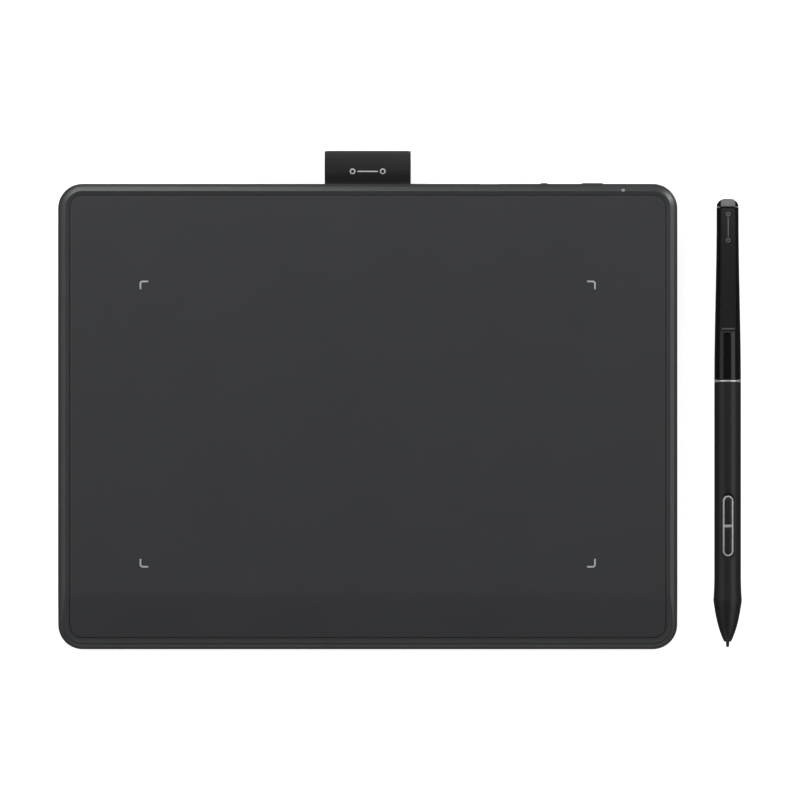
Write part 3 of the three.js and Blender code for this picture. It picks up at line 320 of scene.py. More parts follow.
class Finish:
    """A material under construction: a Principled shader and the pattern nodes that lead to it."""

    def __init__(self, name, roughness=0.5, **sockets):
        self.name = name
        self.material = bpy.data.materials.new(name)
        self.material.use_nodes = True
        self.nodes = self.material.node_tree.nodes
        self.links = self.material.node_tree.links
        self.shader = self.nodes["Principled BSDF"]
        self.shader.inputs["Roughness"].default_value = roughness
        for socket, value in sockets.items():
            self.shader.inputs[socket.replace("_", " ")].default_value = value
        self.place = self.nodes.new("ShaderNodeTexCoord").outputs["Object"]
        self.height = None

    def made(self, kind, output, **inputs):
        """The output of a new node whose inputs hold these values or are linked to these sockets."""
        node = self.nodes.new(f"ShaderNode{kind}")
        for name, value in inputs.items():
            socket = node.inputs[name.replace("_", " ")]
            if isinstance(value, bpy.types.NodeSocket):
                self.links.new(value, socket)
            else:
                socket.default_value = value
        return node.outputs[output]

    def noise(self, scale, detail=2.0, rough=0.5, stretch=None):
        """A noise over the piece's own coordinates, or over these with a scale along each axis."""
        place = self.made("Mapping", "Vector", Vector=self.place, Scale=stretch) if stretch else self.place
        return self.made("TexNoise", "Fac", Vector=place, Scale=scale, Detail=detail, Roughness=rough)

    def cells(self, scale):
        return self.made("TexVoronoi", "Distance", Vector=self.place, Scale=scale)

    def bands(self, pitch, axis):
        """A sine wave with this pitch in millimetres along an axis, from 0 to 1."""
        wave = self.made("TexWave", "Fac", Vector=self.place, Scale=pi / 10 / (pitch * MM))
        wave.node.wave_type = "BANDS"
        wave.node.bands_direction = axis
        return wave

    def spread(self, value, low, high, start=0.3, end=0.7):
        """A pattern stretched so that start and end become low and high."""
        ends = {"From_Min": start, "From_Max": end, "To_Min": low, "To_Max": high}
        return self.made("MapRange", "Result", Value=value, **ends)

    def blended(self, first, second, share):
        """A mix of two patterns."""
        return self.made("Mix", "Result", Factor=share, A=first, B=second)

    def colour(self, value, first, second, start=0.3, end=0.7):
        """A base colour between two, by a pattern."""
        node = self.nodes.new("ShaderNodeMix")
        node.data_type = "RGBA"
        for socket in node.inputs:
            if socket.type == "RGBA":
                socket.default_value = first if socket.name == "A" else second
        self.links.new(self.spread(value, 0, 1, start, end), node.inputs["Factor"])
        result = next(socket for socket in node.outputs if socket.type == "RGBA")
        self.links.new(result, self.shader.inputs["Base Color"])
        return self

    def gloss(self, value, low, high):
        self.links.new(self.spread(value, low, high), self.shader.inputs["Roughness"])
        return self

    def glow(self, strength):
        self.shader.inputs["Emission Color"].default_value = (1, 1, 1, 1)
        self.shader.inputs["Emission Strength"].default_value = strength

    def bump(self, value, depth, strength=1.0):
        """Adds relief of this depth in millimetres."""
        below = {"Normal": self.height} if self.height else {}
        relief = {"Strength": strength, "Distance": depth * MM, "Height": value}
        self.height = self.made("Bump", "Normal", **relief, **below)
        self.links.new(self.height, self.shader.inputs["Normal"])
        return self


def moulded(name, dark, light, roughness, grain=0.28, depth=0.012, **sockets):
    """Moulded plastic: a spark-eroded grain this many millimetres across, over slow changes of tone."""
    finish = Finish(name, roughness, **sockets)
    fine = finish.noise(1 / (grain * MM), detail=3)
    slow = finish.noise(45, detail=2)
    finish.colour(finish.blended(fine, slow, 0.3), linear(*dark), linear(*light))
    finish.gloss(fine, roughness - 0.05, roughness + 0.07)
    return finish.bump(fine, depth)


def ribbon_material():
    """Ribbed elastic: dark weft ribs with the warp threads' finer line across them."""
    finish = Finish("loop_ribbon", 0.9, Sheen_Weight=0.08, Sheen_Roughness=0.5)
    threads = finish.bands(0.32, "X")
    fuzz = finish.noise(2600, detail=4, rough=0.7)
    weave = finish.blended(threads, fuzz, 0.6)
    finish.colour(weave, linear(15, 15, 16), linear(34, 34, 35), 0.25, 0.75)
    finish.gloss(fuzz, 0.82, 0.98)
    return finish.bump(threads, 0.03, 0.6).bump(fuzz, 0.04, 0.5)


def metal(name, dark, light, roughness, along=(400, 9000, 9000), **sockets):
    """Metal with a drawn or brushed line along one axis."""
    finish = Finish(name, roughness, Metallic=1.0, **sockets)
    lines = finish.noise(1.0, detail=4, rough=0.6, stretch=along)
    blotch = finish.noise(600, detail=3)
    finish.colour(finish.blended(lines, blotch, 0.4), linear(*dark), linear(*light))
    finish.gloss(lines, roughness - 0.06, roughness + 0.1)
    return finish.bump(lines, 0.004)


def board_material():
    """Green solder mask with the copper traces showing as paler lines under it."""
    finish = Finish("circuit_board", 0.35, Coat_Weight=0.4, Coat_Roughness=0.15)
    traces = finish.cells(420)
    mask = finish.noise(900, detail=3)
    finish.colour(finish.blended(traces, mask, 0.3), linear(14, 52, 30), linear(38, 96, 58), 0.2, 0.6)
    finish.gloss(mask, 0.28, 0.45)
    return finish.bump(traces, 0.02, 0.5)


def winding_material():
    """Enamelled copper wire, wound in a fine helix along the pen."""
    finish = Finish("copper", 0.3, Metallic=1.0)
    turns = finish.bands(0.14, "Y")
    tone = finish.noise(1500, detail=2)
    finish.colour(finish.blended(turns, tone, 0.3), linear(120, 58, 30), linear(206, 124, 76))
    finish.gloss(tone, 0.22, 0.4)
    return finish.bump(turns, 0.05)


def glossy(name, dark, light, roughness, **sockets):
    """Smooth plastic with a little unevenness in its gloss."""
    finish = Finish(name, roughness, **sockets)
    haze = finish.noise(700, detail=4, rough=0.6)
    slow = finish.noise(60, detail=2)
    finish.colour(finish.blended(haze, slow, 0.5), linear(*dark), linear(*light))
    finish.gloss(haze, max(roughness - 0.04, 0.02), roughness + 0.06)
    return finish.bump(slow, 0.01, 0.4)


SLOT_FINISHES = (
    moulded("case_plastic", (42, 44, 45), (54, 56, 57), 0.4, 0.3, 0.01, Specular_IOR_Level=0.7),
    moulded("surface_film", (39, 40, 42), (45, 46, 48), 0.62, 0.22, 0.006),
    moulded("base_plastic", (36, 37, 38), (46, 47, 48), 0.55, 0.4, 0.02),
    moulded("foot_rubber", (20, 20, 20), (32, 32, 32), 0.85, 0.5, 0.02),
    ribbon_material(),
    moulded("key_plastic", (32, 33, 34), (42, 43, 44), 0.38, 0.2, 0.006),
    metal("steel", (150, 152, 155), (205, 207, 210), 0.28),
    glossy("lens", (138, 140, 141), (160, 162, 163), 0.22, Transmission_Weight=0.1),
    board_material(),
    moulded("epoxy", (16, 16, 17), (28, 28, 29), 0.45, 0.3, 0.008),
    moulded("white_plastic", (204, 205, 203), (224, 224, 222), 0.4, 0.2, 0.004),
    metal("battery_foil", (160, 162, 168), (196, 198, 204), 0.36, (900, 900, 900)),
    glossy("flex_film", (140, 78, 26), (176, 104, 40), 0.3, Coat_Weight=0.3),
    moulded("label_film", (30, 32, 34), (40, 42, 44), 0.6, 0.15, 0.003),
    glossy("red_wire", (128, 16, 14), (170, 28, 24), 0.4),
    glossy("black_wire", (14, 14, 14), (26, 26, 26), 0.4),
    moulded("pen_matte", (20, 20, 21), (28, 28, 29), 0.42, 0.16, 0.005, Specular_IOR_Level=0.4),
    glossy("pen_gloss", (9, 9, 10), (13, 13, 14), 0.19, Specular_IOR_Level=0.42),
    metal("silver", (186, 187, 190), (232, 233, 236), 0.46, (9000, 300, 9000)),
    moulded("nib_plastic", (20, 20, 20), (32, 32, 32), 0.5, 0.1, 0.003),
    moulded("ferrite", (36, 36, 40), (54, 54, 58), 0.7, 0.15, 0.01),
    winding_material(),
)
FINISHES = {finish.name: finish for finish in SLOT_FINISHES}

PRINT = moulded("print", (164, 166, 166), (188, 190, 190), 0.5, 0.2, 0.002)
FAINT_PRINT = moulded("faint_print", (104, 106, 106), (124, 126, 126), 0.5, 0.2, 0.002)
CLIP_FINISH = moulded("clip_satin", (15, 16, 17), (20, 21, 22), 0.3, 0.12, 0.002, Specular_IOR_Level=0.65)
# edge_painted_highlight is light grey while the clip is near black: a painted highlight for the light that
# the clip's turned-down end catches.
EDGE_HIGHLIGHT_PAINT = moulded("edge_painted_highlight", (76, 77, 78), (86, 87, 88), 0.34, 0.12, 0.002)
# saddle_painted_highlight is a light grey copy of the dark pen plastic: a painted highlight for the lit
# band over the cap's dome.
SADDLE_HIGHLIGHT_PAINT = glossy("saddle_painted_highlight", (98, 99, 100), (110, 111, 112), 0.4)


def piece(name, shape, slot, body, *nodes, offset=ON_CASE, sharp=32, finish=None):
    """A piece of the object, from a mesh or from shapes in millimetres: its slot, the body that it rides
    on and the nodes that it replaces."""
    mesh = shape if isinstance(shape, bpy.types.Mesh) else mesh_of(name, *shape, offset=offset, sharp=sharp)
    obj = shown(name, mesh)
    mesh.materials.clear()
    mesh.materials.append((finish or FINISHES[slot]).material)
    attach(obj, body)
    if nodes:
        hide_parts(*nodes)
    return obj


# ---- tablet


def rear_cutter(width, height, x, z, inside, flare=0.25):
    """A cutter for an opening in the rear wall, with its mouth flared."""
    rings = [
        ring(stadium(width, height, inset), y, "y")
        for inset, y in ((0, inside), (0, REAR - flare), (-flare, REAR), (-flare, REAR + 1))
    ]
    return mesh_of("opening", skin(rings), offset=(CASE_X + x, CASE_Y, z))


FEET = nodes_named("foot_")
SCREW_NODES = nodes_named("case_screw_")
SCREW_HEAD_RADIUS = 1.85
SCREW_SHANK_RADIUS = 0.95
SCREW_POCKET = 1.7  # how deep a screw's head sits in the cover
SEAT_DEPTHS = {"foot": 1.4, "label": 1.05}
SEAT_GAP = 0.15  # clearance round a foot, a label, a key or a port

usb = middle_of("usb_shell")
usb_size = size_of("usb_shell")
power = middle_of("power_button")
pairing = middle_of("pairing_button")
led = middle_of("led_lens")
LED_RADIUS = size_of("led_lens").x / 2
POWER_WIDTH, POWER_HEIGHT = 7.6, 1.9
PAIRING_DIAMETER = 2.5
NOT_SQUARE = 0.001  # keeps a round opening's two ends apart
loop_low, loop_high = in_case("pen_loop")
LOOP_Z = (loop_low.z + loop_high.z) / 2
LOOP_WIDTH = loop_high.x - loop_low.x
RIBBON = 0.9  # thickness of one layer of the pen loop
SLOT_MARGIN = 1.2  # room at each end of the pen loop's slot
OPENING_DEPTH = WALL + 1
PORT_DEPTH = 7.6
SEAM_CHAMFER = 0.15
RIM_SHOULDER = (RIM * 0.42, RIM_DROP * 0.43, 1.4)  # inset, drop and radius of the bevel's bend


def rim_profile():
    """The rim's section over the side wall, as inset and drop below its crest."""
    corners = [
        (0, 4.0, 0),
        (0, RIM_DROP - 0.05, 0.6),
        RIM_SHOULDER,
        (RIM, -0.02, 0.6),
        (RIM_INNER, RIM_INNER_DROP, 0),
    ]
    return rounded(corners, 6)[1:]


def case_top():
    """The case's upper shell: its side wall, the rim, the ledge under the film and the rear openings."""
    rings = [ring(case_outline(SEAM_CHAMFER), SEAM_TOP), ring(case_outline(0), SEAM_TOP + SEAM_CHAMFER)]
    rings += [ring(case_outline(p.x), under(p.y)) for p in rim_profile()]
    inside = LEDGE_DROP + LEDGE_THICKNESS
    for inset, height in (
        (RIM_INNER, under(LEDGE_DROP)),
        (LEDGE, under(LEDGE_DROP)),
        (LEDGE, under(inside)),
        (WALL, under(inside)),
        (WALL, SEAM_TOP),
    ):
        rings.append(ring(case_outline(inset), height))
    shell = mesh_of("case_top", skin(rings, wrap=True))
    openings = []
    for width, height, x, z, depth in (
        (usb_size.x, usb_size.z, usb.x, usb.z, PORT_DEPTH),
        (POWER_WIDTH, POWER_HEIGHT, power.x, power.z, OPENING_DEPTH),
        (PAIRING_DIAMETER, PAIRING_DIAMETER - NOT_SQUARE, pairing.x, pairing.z, OPENING_DEPTH),
        (LOOP_WIDTH + 2 * SLOT_MARGIN - 2 * SEAT_GAP, 2 * RIBBON, 0, LOOP_Z, OPENING_DEPTH),
    ):
        openings.append(rear_cutter(width + 2 * SEAT_GAP, height + 2 * SEAT_GAP, x, z, REAR - depth))
    window = circle(LED_RADIUS + 0.06, 48, led.x, led.y)
    openings.append(mesh_of("opening", prism(window, 4, CREST + 1)))
    piece("case_top", carved(shell, *openings), "case_plastic", "tablet", "top_shell")


def drawing_surface():
    corners = [
        (SURFACE_EDGE, SURFACE_DROP + SURFACE_THICKNESS, 0),
        (SURFACE_EDGE, SURFACE_DROP + SURFACE_CHAMFER, 0.05),
        (SURFACE_EDGE + SURFACE_CHAMFER, SURFACE_DROP, 0.08),
        (SURFACE_EDGE + 1.5, SURFACE_DROP, 0),
    ]
    rings = [ring(case_outline(p.x), under(p.y)) for p in rounded(corners, 3)]
    shape = skin(rings, strips=True)
    piece("surface", [shape], "surface_film", "tablet", "drawing_surface")


BORDER_START = RIM + 0.25
BORDER_START_DROP = 0.045
BORDER_END = SURFACE_EDGE - 0.12
BORDER_END_DROP = SURFACE_DROP + 0.03
BORDER_WIDENING = 12  # length along the side over which the border widens


def surface_border():
    """The film's border on the rim's inner slope. Towards the front it widens over the whole rim."""

    def line(side, front):
        """A line round the case whose inset and drop change from the first pair to the second one."""
        points = []
        for a, b in zip(case_outline(side[0]), case_outline(front[0])):
            t = eased((BEND_Y - a[1]) / BORDER_WIDENING)
            x, y = a[0] + (b[0] - a[0]) * t, a[1] + (b[1] - a[1]) * t
            points.append((x, y, crest(y) - side[1] - (front[1] - side[1]) * t))
        return points

    end, foot_line = (BORDER_END, BORDER_END_DROP), (BORDER_END, 0.9)
    rings = [
        line((RIM + 0.11, 0.3), (1.42, 0.95)),
        line((RIM + 0.11, 0.0), (1.6, 0.12)),
        line((BORDER_START, BORDER_START_DROP), (2.4, 0.06)),
        line(end, end),
        line(foot_line, foot_line),
    ]
    piece("surface_border", [skin(rings, wrap=True)], "surface_film", "tablet")


def case_bottom():
    """The bottom cover, with its lip inside the seam, and seats for the feet, the screws and the label."""
    low = cover_low.z
    edge = rounded([(2.4, low, 0), (1.6, low, 0.9), (0, 1.75, 0.9), (0, FLOOR_TOP, 0)], 6)
    profile = [(p.x, p.y) for p in edge] + [
        (LIP, FLOOR_TOP),
        (LIP, FLOOR_TOP + LIP_HEIGHT),
        (LIP + 1, FLOOR_TOP + LIP_HEIGHT),
        (LIP + 1, FLOOR_TOP),
    ]
    rings = [ring(case_outline(inset), height) for inset, height in profile]
    cover = mesh_of("case_bottom", skin(rings, strips=True))
    cutters = []
    for node in FEET:
        size, middle = size_of(node), middle_of(node)
        outline = stadium(size.x + 2 * SEAT_GAP, size.y + 2 * SEAT_GAP)
        seat = [(middle.x + x, middle.y + y) for x, y in outline]
        cutters.append(mesh_of("seat", prism(seat, 0, SEAT_DEPTHS["foot"])))
    for node in SCREW_NODES:
        middle = middle_of(node)
        pocket = circle(SCREW_HEAD_RADIUS + 0.25, 32, middle.x, middle.y)
        cutters.append(mesh_of("pocket", prism(pocket, 0, SCREW_POCKET)))
    label = size_of("rating_label")
    seat = rounded_rectangle(label.x / 2 + SEAT_GAP, label.y / 2 + SEAT_GAP, 1.0)
    cutters.append(mesh_of("seat", prism(seat, 0, SEAT_DEPTHS["label"])))
    piece("case_bottom", carved(cover, *cutters), "base_plastic", "tablet", "bottom_cover")


def rounded_rectangle(half_x, half_y, radius, steps=8):
    points = []
    for quarter in range(4):
        cx = (half_x - radius) * (1 if quarter in (0, 3) else -1)
        cy = (half_y - radius) * (1 if quarter in (0, 1) else -1)
        for step in range(steps + 1):
            angle = pi / 2 * (quarter + step / steps)
            points.append((cx + radius * cos(angle), cy + radius * sin(angle)))
    return points


def underside(node):
    """The middle of a CAD node's underside."""
    low, high = box_mm(node)
    return ((low.x + high.x) / 2, (low.y + high.y) / 2, low.z)


def foot(node):
    """A rubber pad with a softly rounded face that bears on the desk."""
    size = size_of(node)
    profile = [(1.6, 0.0), (0.7, 0.02), (0.25, 0.14), (0.06, 0.34), (0, 0.6), (0, size.z)]
    rings = [ring(stadium(size.x, size.y, inset), height) for inset, height in profile]
    name = f"pad_{node.removeprefix('foot_')}"
    piece(name, [skin(rings)], "foot_rubber", "tablet", node, offset=underside(node))


def case_screw(node):
    """A pan-head screw, head down in its pocket, with a cross recess."""
    length, offset = size_of(node).z, underside(node)
    head, shank = SCREW_HEAD_RADIUS, SCREW_SHANK_RADIUS
    profile = [(0, 0), (1.1, 0), (1.6, 0.12), (head, 0.45), (head, 0.9), (shank, 0.9),
               (shank, length - 0.3), (0.5, length), (0, length)]
    rings = [ring(circle(radius, 40), height) for radius, height in profile]
    body = mesh_of("screw", skin(rings, caps=False), offset=offset)
    recess = []
    for a, b in ((1.1, 0.26), (0.26, 1.1)):
        mouth = ring(rounded_rectangle(a, b, 0.1, 3), -1)
        bottom = ring(rounded_rectangle(a * 0.6, b * 0.8, 0.08, 3), 0.55)
        recess.append(mesh_of("recess", skin([mouth, bottom]), offset=offset))
    piece(f"fastener_{node.removeprefix('case_')}", carved(body, *recess), "steel", "tablet", node)


# ---- the tablet's pen loop

LOOP_REACH = loop_high.y - REAR
EYE_NECK = 1.7
EYE_A = (LOOP_REACH - EYE_NECK) / 2
EYE_B = (loop_high.z - loop_low.z) / 2
EYE_Y = LOOP_REACH - EYE_A
ON_LOOP = (CASE_X, CASE_Y + REAR, LOOP_Z)
RIB_PITCH = 0.82
RIB_DEPTH = 0.07
SELVEDGE_LOSS = (0.22, 0.12, 0.12)  # how much thinner the ribbon gets towards each edge
PARTING = 1.0  # where the ribbon's two layers part


def tangent_angle(from_y, from_z, a, b):
    """Where a line from a point touches the eye's ellipse, as the angle on it."""
    along = (EYE_Y - from_y) / a
    up = from_z / b
    return pi - atan2(up, along) - acos(1 / hypot(along, up))


def even(points, pitch):
    """The line through these points, cut into steps of about one length."""
    lengths = [0.0]
    for a, b in zip(points, points[1:]):
        lengths.append(lengths[-1] + (b - a).length)
    count = max(2, round(lengths[-1] / pitch))
    found, j = [], 0
    for i in range(count + 1):
        goal = lengths[-1] * i / count
        while j < len(points) - 2 and lengths[j + 1] < goal:
            j += 1
        share = (goal - lengths[j]) / max(lengths[j + 1] - lengths[j], 1e-9)
        found.append(points[j].lerp(points[j + 1], min(share, 1)))
    return found, lengths[-1]


def ribbon_line():
    """The ribbon's middle line in side view, from one end inside the case round to the other."""
    half = RIBBON / 2
    a, b = EYE_A - half, EYE_B - half
    angle = tangent_angle(PARTING, half, a, b)
    start = loop_low.y - REAR
    points = [Vector((start, -half)), Vector((PARTING, -half))]
    for step in range(73):
        turn = -angle + 2 * angle * step / 72
        points.append(Vector((EYE_Y + a * cos(turn), b * sin(turn))))
    return points + [Vector((PARTING, half)), Vector((start, half))]


def ribbon():
    """A folded grosgrain ribbon: its ribs run across it, and its selvedges are flat and thin."""
    line, length = even(ribbon_line(), RIB_PITCH / 10)
    half_width = LOOP_WIDTH / 2
    across = [-half_width, -half_width + 0.12, -half_width + 0.9, -half_width + 1.05]
    across += [0.0] + [-x for x in reversed(across)]
    loops = []
    for i, here in enumerate(line):
        along = (line[min(i + 1, len(line) - 1)] - line[max(i - 1, 0)]).normalized()
        out = Vector((along.y, -along.x))
        rib = RIB_DEPTH * 0.5 * (1 + cos(2 * pi * length * i / (len(line) - 1) / RIB_PITCH))
        top, low = [], []
        for k, x in enumerate(across):
            rank = min(k, len(across) - 1 - k)
            thick = RIBBON / 2 - (SELVEDGE_LOSS[rank] if rank < 3 else rib)
            for side, found in ((1, top), (-1, low)):
                found.append((x, *(here + out * (thick - 0.01) * side)))
        loops.append(top + low[::-1])
    obj = piece("loop", [skin(loops)], "loop_ribbon", "tablet", "pen_loop", offset=ON_LOOP, sharp=60)
    loop_ornament(line)


def ornament(half_long, half_wide, stroke, sides, bar, lifts, place, strips=False):
    """A printed bar between two rings, as shapes laid where place(along, across, lift) puts them."""
    low, high = lifts
    inner = half_wide - stroke
    shapes = [skin([[place(x, y, lift) for x, y in bar] for lift in lifts], strips=strips)]
    for end in (-1, 1):
        middle = end * (half_long - half_wide)
        rings = []
        for radius, lift in ((half_wide, low), (half_wide, high), (inner, high), (inner, low)):
            rings.append([place(middle + x, y, lift) for x, y in circle(radius, sides)])
        shapes.append(skin(rings, wrap=True))
    return shapes


def loop_ornament(line):
    centre = loop_high.y - REAR - 7.35
    half_long, half_high, stroke = 6.3, 1.0, 0.42

    def surface_height(y):
        a, b = next(
            (a, b) for a, b in zip(line, line[1:]) if min(a.x, b.x) <= y <= max(a.x, b.x) and a.y > 0
        )
        share = (y - a.x) / (b.x - a.x)
        return a.y + (b.y - a.y) * share + RIBBON / 2 / max(abs((b - a).normalized().x), 0.5)

    def place(along, across, lift):
        return (along, centre + across, surface_height(centre + across) + lift)

    bar = stadium(2 * (half_long - 2 * half_high - 0.7), stroke)
    shapes = ornament(half_long, half_high, stroke, 48, bar, (-0.1, 0.03), place)
    return piece("loop_ornament", shapes, "white_plastic", "tablet", offset=ON_LOOP)


# ---- the tablet's rear edge

USB_WALL = 0.3
CONTACTS = 12  # in each row
CONTACT_PITCH = 0.5


def usb_port():
    """The receptacle's shell with a rounded mouth, and its tongue with two rows of contacts."""
    low, high = in_case("usb_shell")
    width, height = usb_size.x, usb_size.z
    profile = [(0, low.y), (0, high.y - 0.12), (0.04, high.y - 0.03), (0.15, high.y),
               (USB_WALL - 0.04, high.y - 0.03), (USB_WALL, high.y - 0.14), (USB_WALL, low.y + 0.8)]
    rings = [ring(stadium(width, height, inset, 20), y, "y") for inset, y in profile]
    offset = (CASE_X + usb.x, CASE_Y, usb.z)
    piece("usb_mouth", [skin(rings)], "steel", "tablet", "usb_shell", offset=offset)

    low, high = in_case("usb_tongue")
    base = [ring(stadium(width - 0.8, height - 0.8, 0, 16), y, "y") for y in (low.y, low.y + 1)]
    half_x, half_z = 3.35, 0.35
    blade = [
        ring(rounded_rectangle(half_x - inset, half_z - inset, 0.15, 4), y, "y")
        for inset, y in ((0, low.y + 0.9), (0, high.y - 0.2), (0.12, high.y))
    ]
    piece("usb_blade", [skin(base), skin(blade)], "epoxy", "tablet", "usb_tongue", offset=offset)
    contacts = []
    section = rounded_rectangle(0.13, 0.04, 0.02, 2)
    for side in (-1, 1):
        for i in range(CONTACTS):
            x = (i - (CONTACTS - 1) / 2) * CONTACT_PITCH
            outline = [(x + a, side * half_z + b) for a, b in section]
            contacts.append(skin([ring(outline, y, "y") for y in (low.y + 1.2, high.y - 0.7)]))
    piece("usb_contacts", contacts, "copper", "tablet", offset=offset)


def rear_key(name, node, width, height, overhang):
    """A key that stands out of the rear wall: its flange inside, then its cap with a crowned face."""
    low, high = in_case(node)
    middle = middle_of(node)
    face = high.y
    profile = [(-overhang, low.y), (-overhang, low.y + 0.6), (0, low.y + 0.6), (0, face - 0.22),
               (0.05, face - 0.09), (0.18, face - 0.02), (0.4, face), (min(width, height) / 2 - 0.02, face)]
    rings = [ring(stadium(width, height, inset, 20), y, "y") for inset, y in profile]
    piece(name, [skin(rings)], "key_plastic", node, node, offset=(CASE_X + middle.x, CASE_Y, middle.z))


LENS_RISE = 0.08  # of its dome
LENS_PROUD = 0.045  # of its rim, over the bevel


def status_window():
    """The light's lens, a pipe that follows the rim's bevel with a little dome."""
    profile = rim_profile()
    low = box_mm("led_lens")[0].z

    def drop(inset):
        if inset > BORDER_START:
            share = (inset - BORDER_START) / (BORDER_END - BORDER_START)
            return BORDER_START_DROP + (BORDER_END_DROP - BORDER_START_DROP) * share
        for a, b in zip(profile, profile[1:]):
            if a.x <= inset <= b.x:
                return a.y + (b.y - a.y) * (inset - a.x) / max(b.x - a.x, 1e-9)
        return 0.0

    def height(share):
        lift = LENS_RISE * (1 - share**2) + LENS_PROUD
        return lambda y: CREST - drop(REAR - y) + lift

    rings = [ring(circle(LED_RADIUS, 40, led.x, led.y), low)]
    for share in (1.0, 0.85, 0.55, 0.02):
        rings.append(ring(circle(LED_RADIUS * share, 40, led.x, led.y), height(share)))
    piece("status_window", [skin(rings)], "lens", "tablet", "led_lens")


MARK_X = 79.8  # corner marks of the active area, from the middle of the case
MARK_REAR = 47.5
MARK_FRONT = -52.7
MARK_ARM = 2.75
MARK_STROKE = 0.55
MARK_CORNER = 0.8
INK = 0.02


def corner_marks():
    """The printed L in each corner of the active area."""
    out, half, top = MARK_CORNER, MARK_STROKE / 2, CREST - SURFACE_DROP
    turn = [(out - out * cos(a), out - out * sin(a)) for a in (0.26, 0.52, 0.79, 1.05, 1.31)]
    path = [Vector(p) for p in [(0, MARK_ARM), (0, out), *turn, (out, 0), (MARK_ARM, 0)]]
    left, right = [], []
    for i, here in enumerate(path):
        along = (path[min(i + 1, len(path) - 1)] - path[max(i - 1, 0)]).normalized()
        normal = Vector((-along.y, along.x)) * half
        left.append(here + normal)
        right.append(here - normal)
    for side, hand in ((-1, "left"), (1, "right")):
        for end, y, towards in (("front", MARK_FRONT, -1), ("rear", MARK_REAR, 1)):
            outline = [(side * (MARK_X - p.x), y - towards * p.y) for p in left + right[::-1]]
            shape = prism(outline, top - INK, top + INK)
            piece(f"mark_{end}_{hand}", [shape], "white_plastic", "tablet", finish=PRINT)


# ---- pen

GRIP_RADIUS = 4.68
SHOULDER = 16.5
SHOULDER_RADIUS = 5.0
GRIP_START = 25
NOSE_START = 1.9
NOSE_END = 13.5
NOSE_CURVE = (Vector((2.4, 1.45)), Vector((7.5, 3.9)), Vector((SHOULDER, SHOULDER_RADIUS)))
RING_START, RING_END = 93.25, 93.85
HEAD_END = 154.6
HEAD_RADIUS = 3.88
TAPER_END = HEAD_END - 4
HEAD_START = 86.3  # of its spigot, inside the grip
PEN_LENGTH = 157.6
BORE = 3.5
HEAD_BORE = 2.7
KEYS_MIDDLE = 42.6
KEYS_LENGTH = 21.3
KEYS_WIDTH = 3.7
BEZEL_LINE = 0.6
BEZEL_BAR = 1.0
BEZEL_TOP = 4.58
KEY_GAP = 0.12
RECESS_FLOOR = 4.05
OVER_GRIP = 5.2  # a height clear of the grip
ON_KEYS = (PEN_X, TIP_Y + KEYS_MIDDLE, PEN_Z)


def nose_radius(along):
    a = NOSE_CURVE[0].x - 2 * NOSE_CURVE[1].x + NOSE_CURVE[2].x
    b = 2 * (NOSE_CURVE[1].x - NOSE_CURVE[0].x)
    c = NOSE_CURVE[0].x - along
    t = (-b + sqrt(b * b - 4 * a * c)) / (2 * a)
    radii = [point.y for point in NOSE_CURVE]
    return radii[0] * (1 - t) ** 2 + radii[1] * 2 * t * (1 - t) + radii[2] * t * t


def grip_radius(along):
    rest = max(0.0, (GRIP_START - along) / (GRIP_START - SHOULDER))
    return GRIP_RADIUS + (SHOULDER_RADIUS - GRIP_RADIUS) * rest**2


def head_radius(along):
    share = (along - RING_START) / (TAPER_END - RING_START)
    return GRIP_RADIUS + (HEAD_RADIUS - GRIP_RADIUS) * eased(share)


def line_of(radius_at, start, end, steps):
    return [(start + (end - start) * i / steps, radius_at(start + (end - start) * i / steps))
            for i in range(steps + 1)]


def nose():
    """The nose cone: its bore, the rounded mouth round the nib, the curve outside and the spigot behind."""
    profile = [(7.0, 0.77), (NOSE_START + 0.1, 0.77), (NOSE_START, 0.85), (NOSE_START, 0.98),
               (NOSE_START + 0.06, 1.15), (NOSE_START + 0.22, 1.32)]
    profile += line_of(nose_radius, 2.45, NOSE_END - 0.08, 24)
    profile += [(NOSE_END, nose_radius(NOSE_END) - 0.07), (NOSE_END, BORE - 0.1), (19.5, BORE - 0.1),
                (19.5, 2.4), (7.0, 2.4)]
    piece("nose", [lathe(profile)], "pen_matte", "pen", "nose_cone", offset=ON_PEN)


def nib_tip():
    radius, length, tip = 0.62, 25.0, 0.35
    turn = [i * pi / 16 for i in range(8)]
    profile = [(tip - tip * cos(a), radius * sin(a) ** 0.8 * 0.82) for a in turn]
    profile += [(tip, radius * 0.82), (0.9, radius), (length, radius), (length, 0)]
    piece("nib_tip", [lathe(profile, 40)], "nib_plastic", "nib", "nib", offset=ON_PEN)


def upward(shape_of, rings):
    """A closed solid standing on the pen's keys, from rings of inset and height over the axis."""
    return skin([ring(shape_of(inset), height) for inset, height in rings])


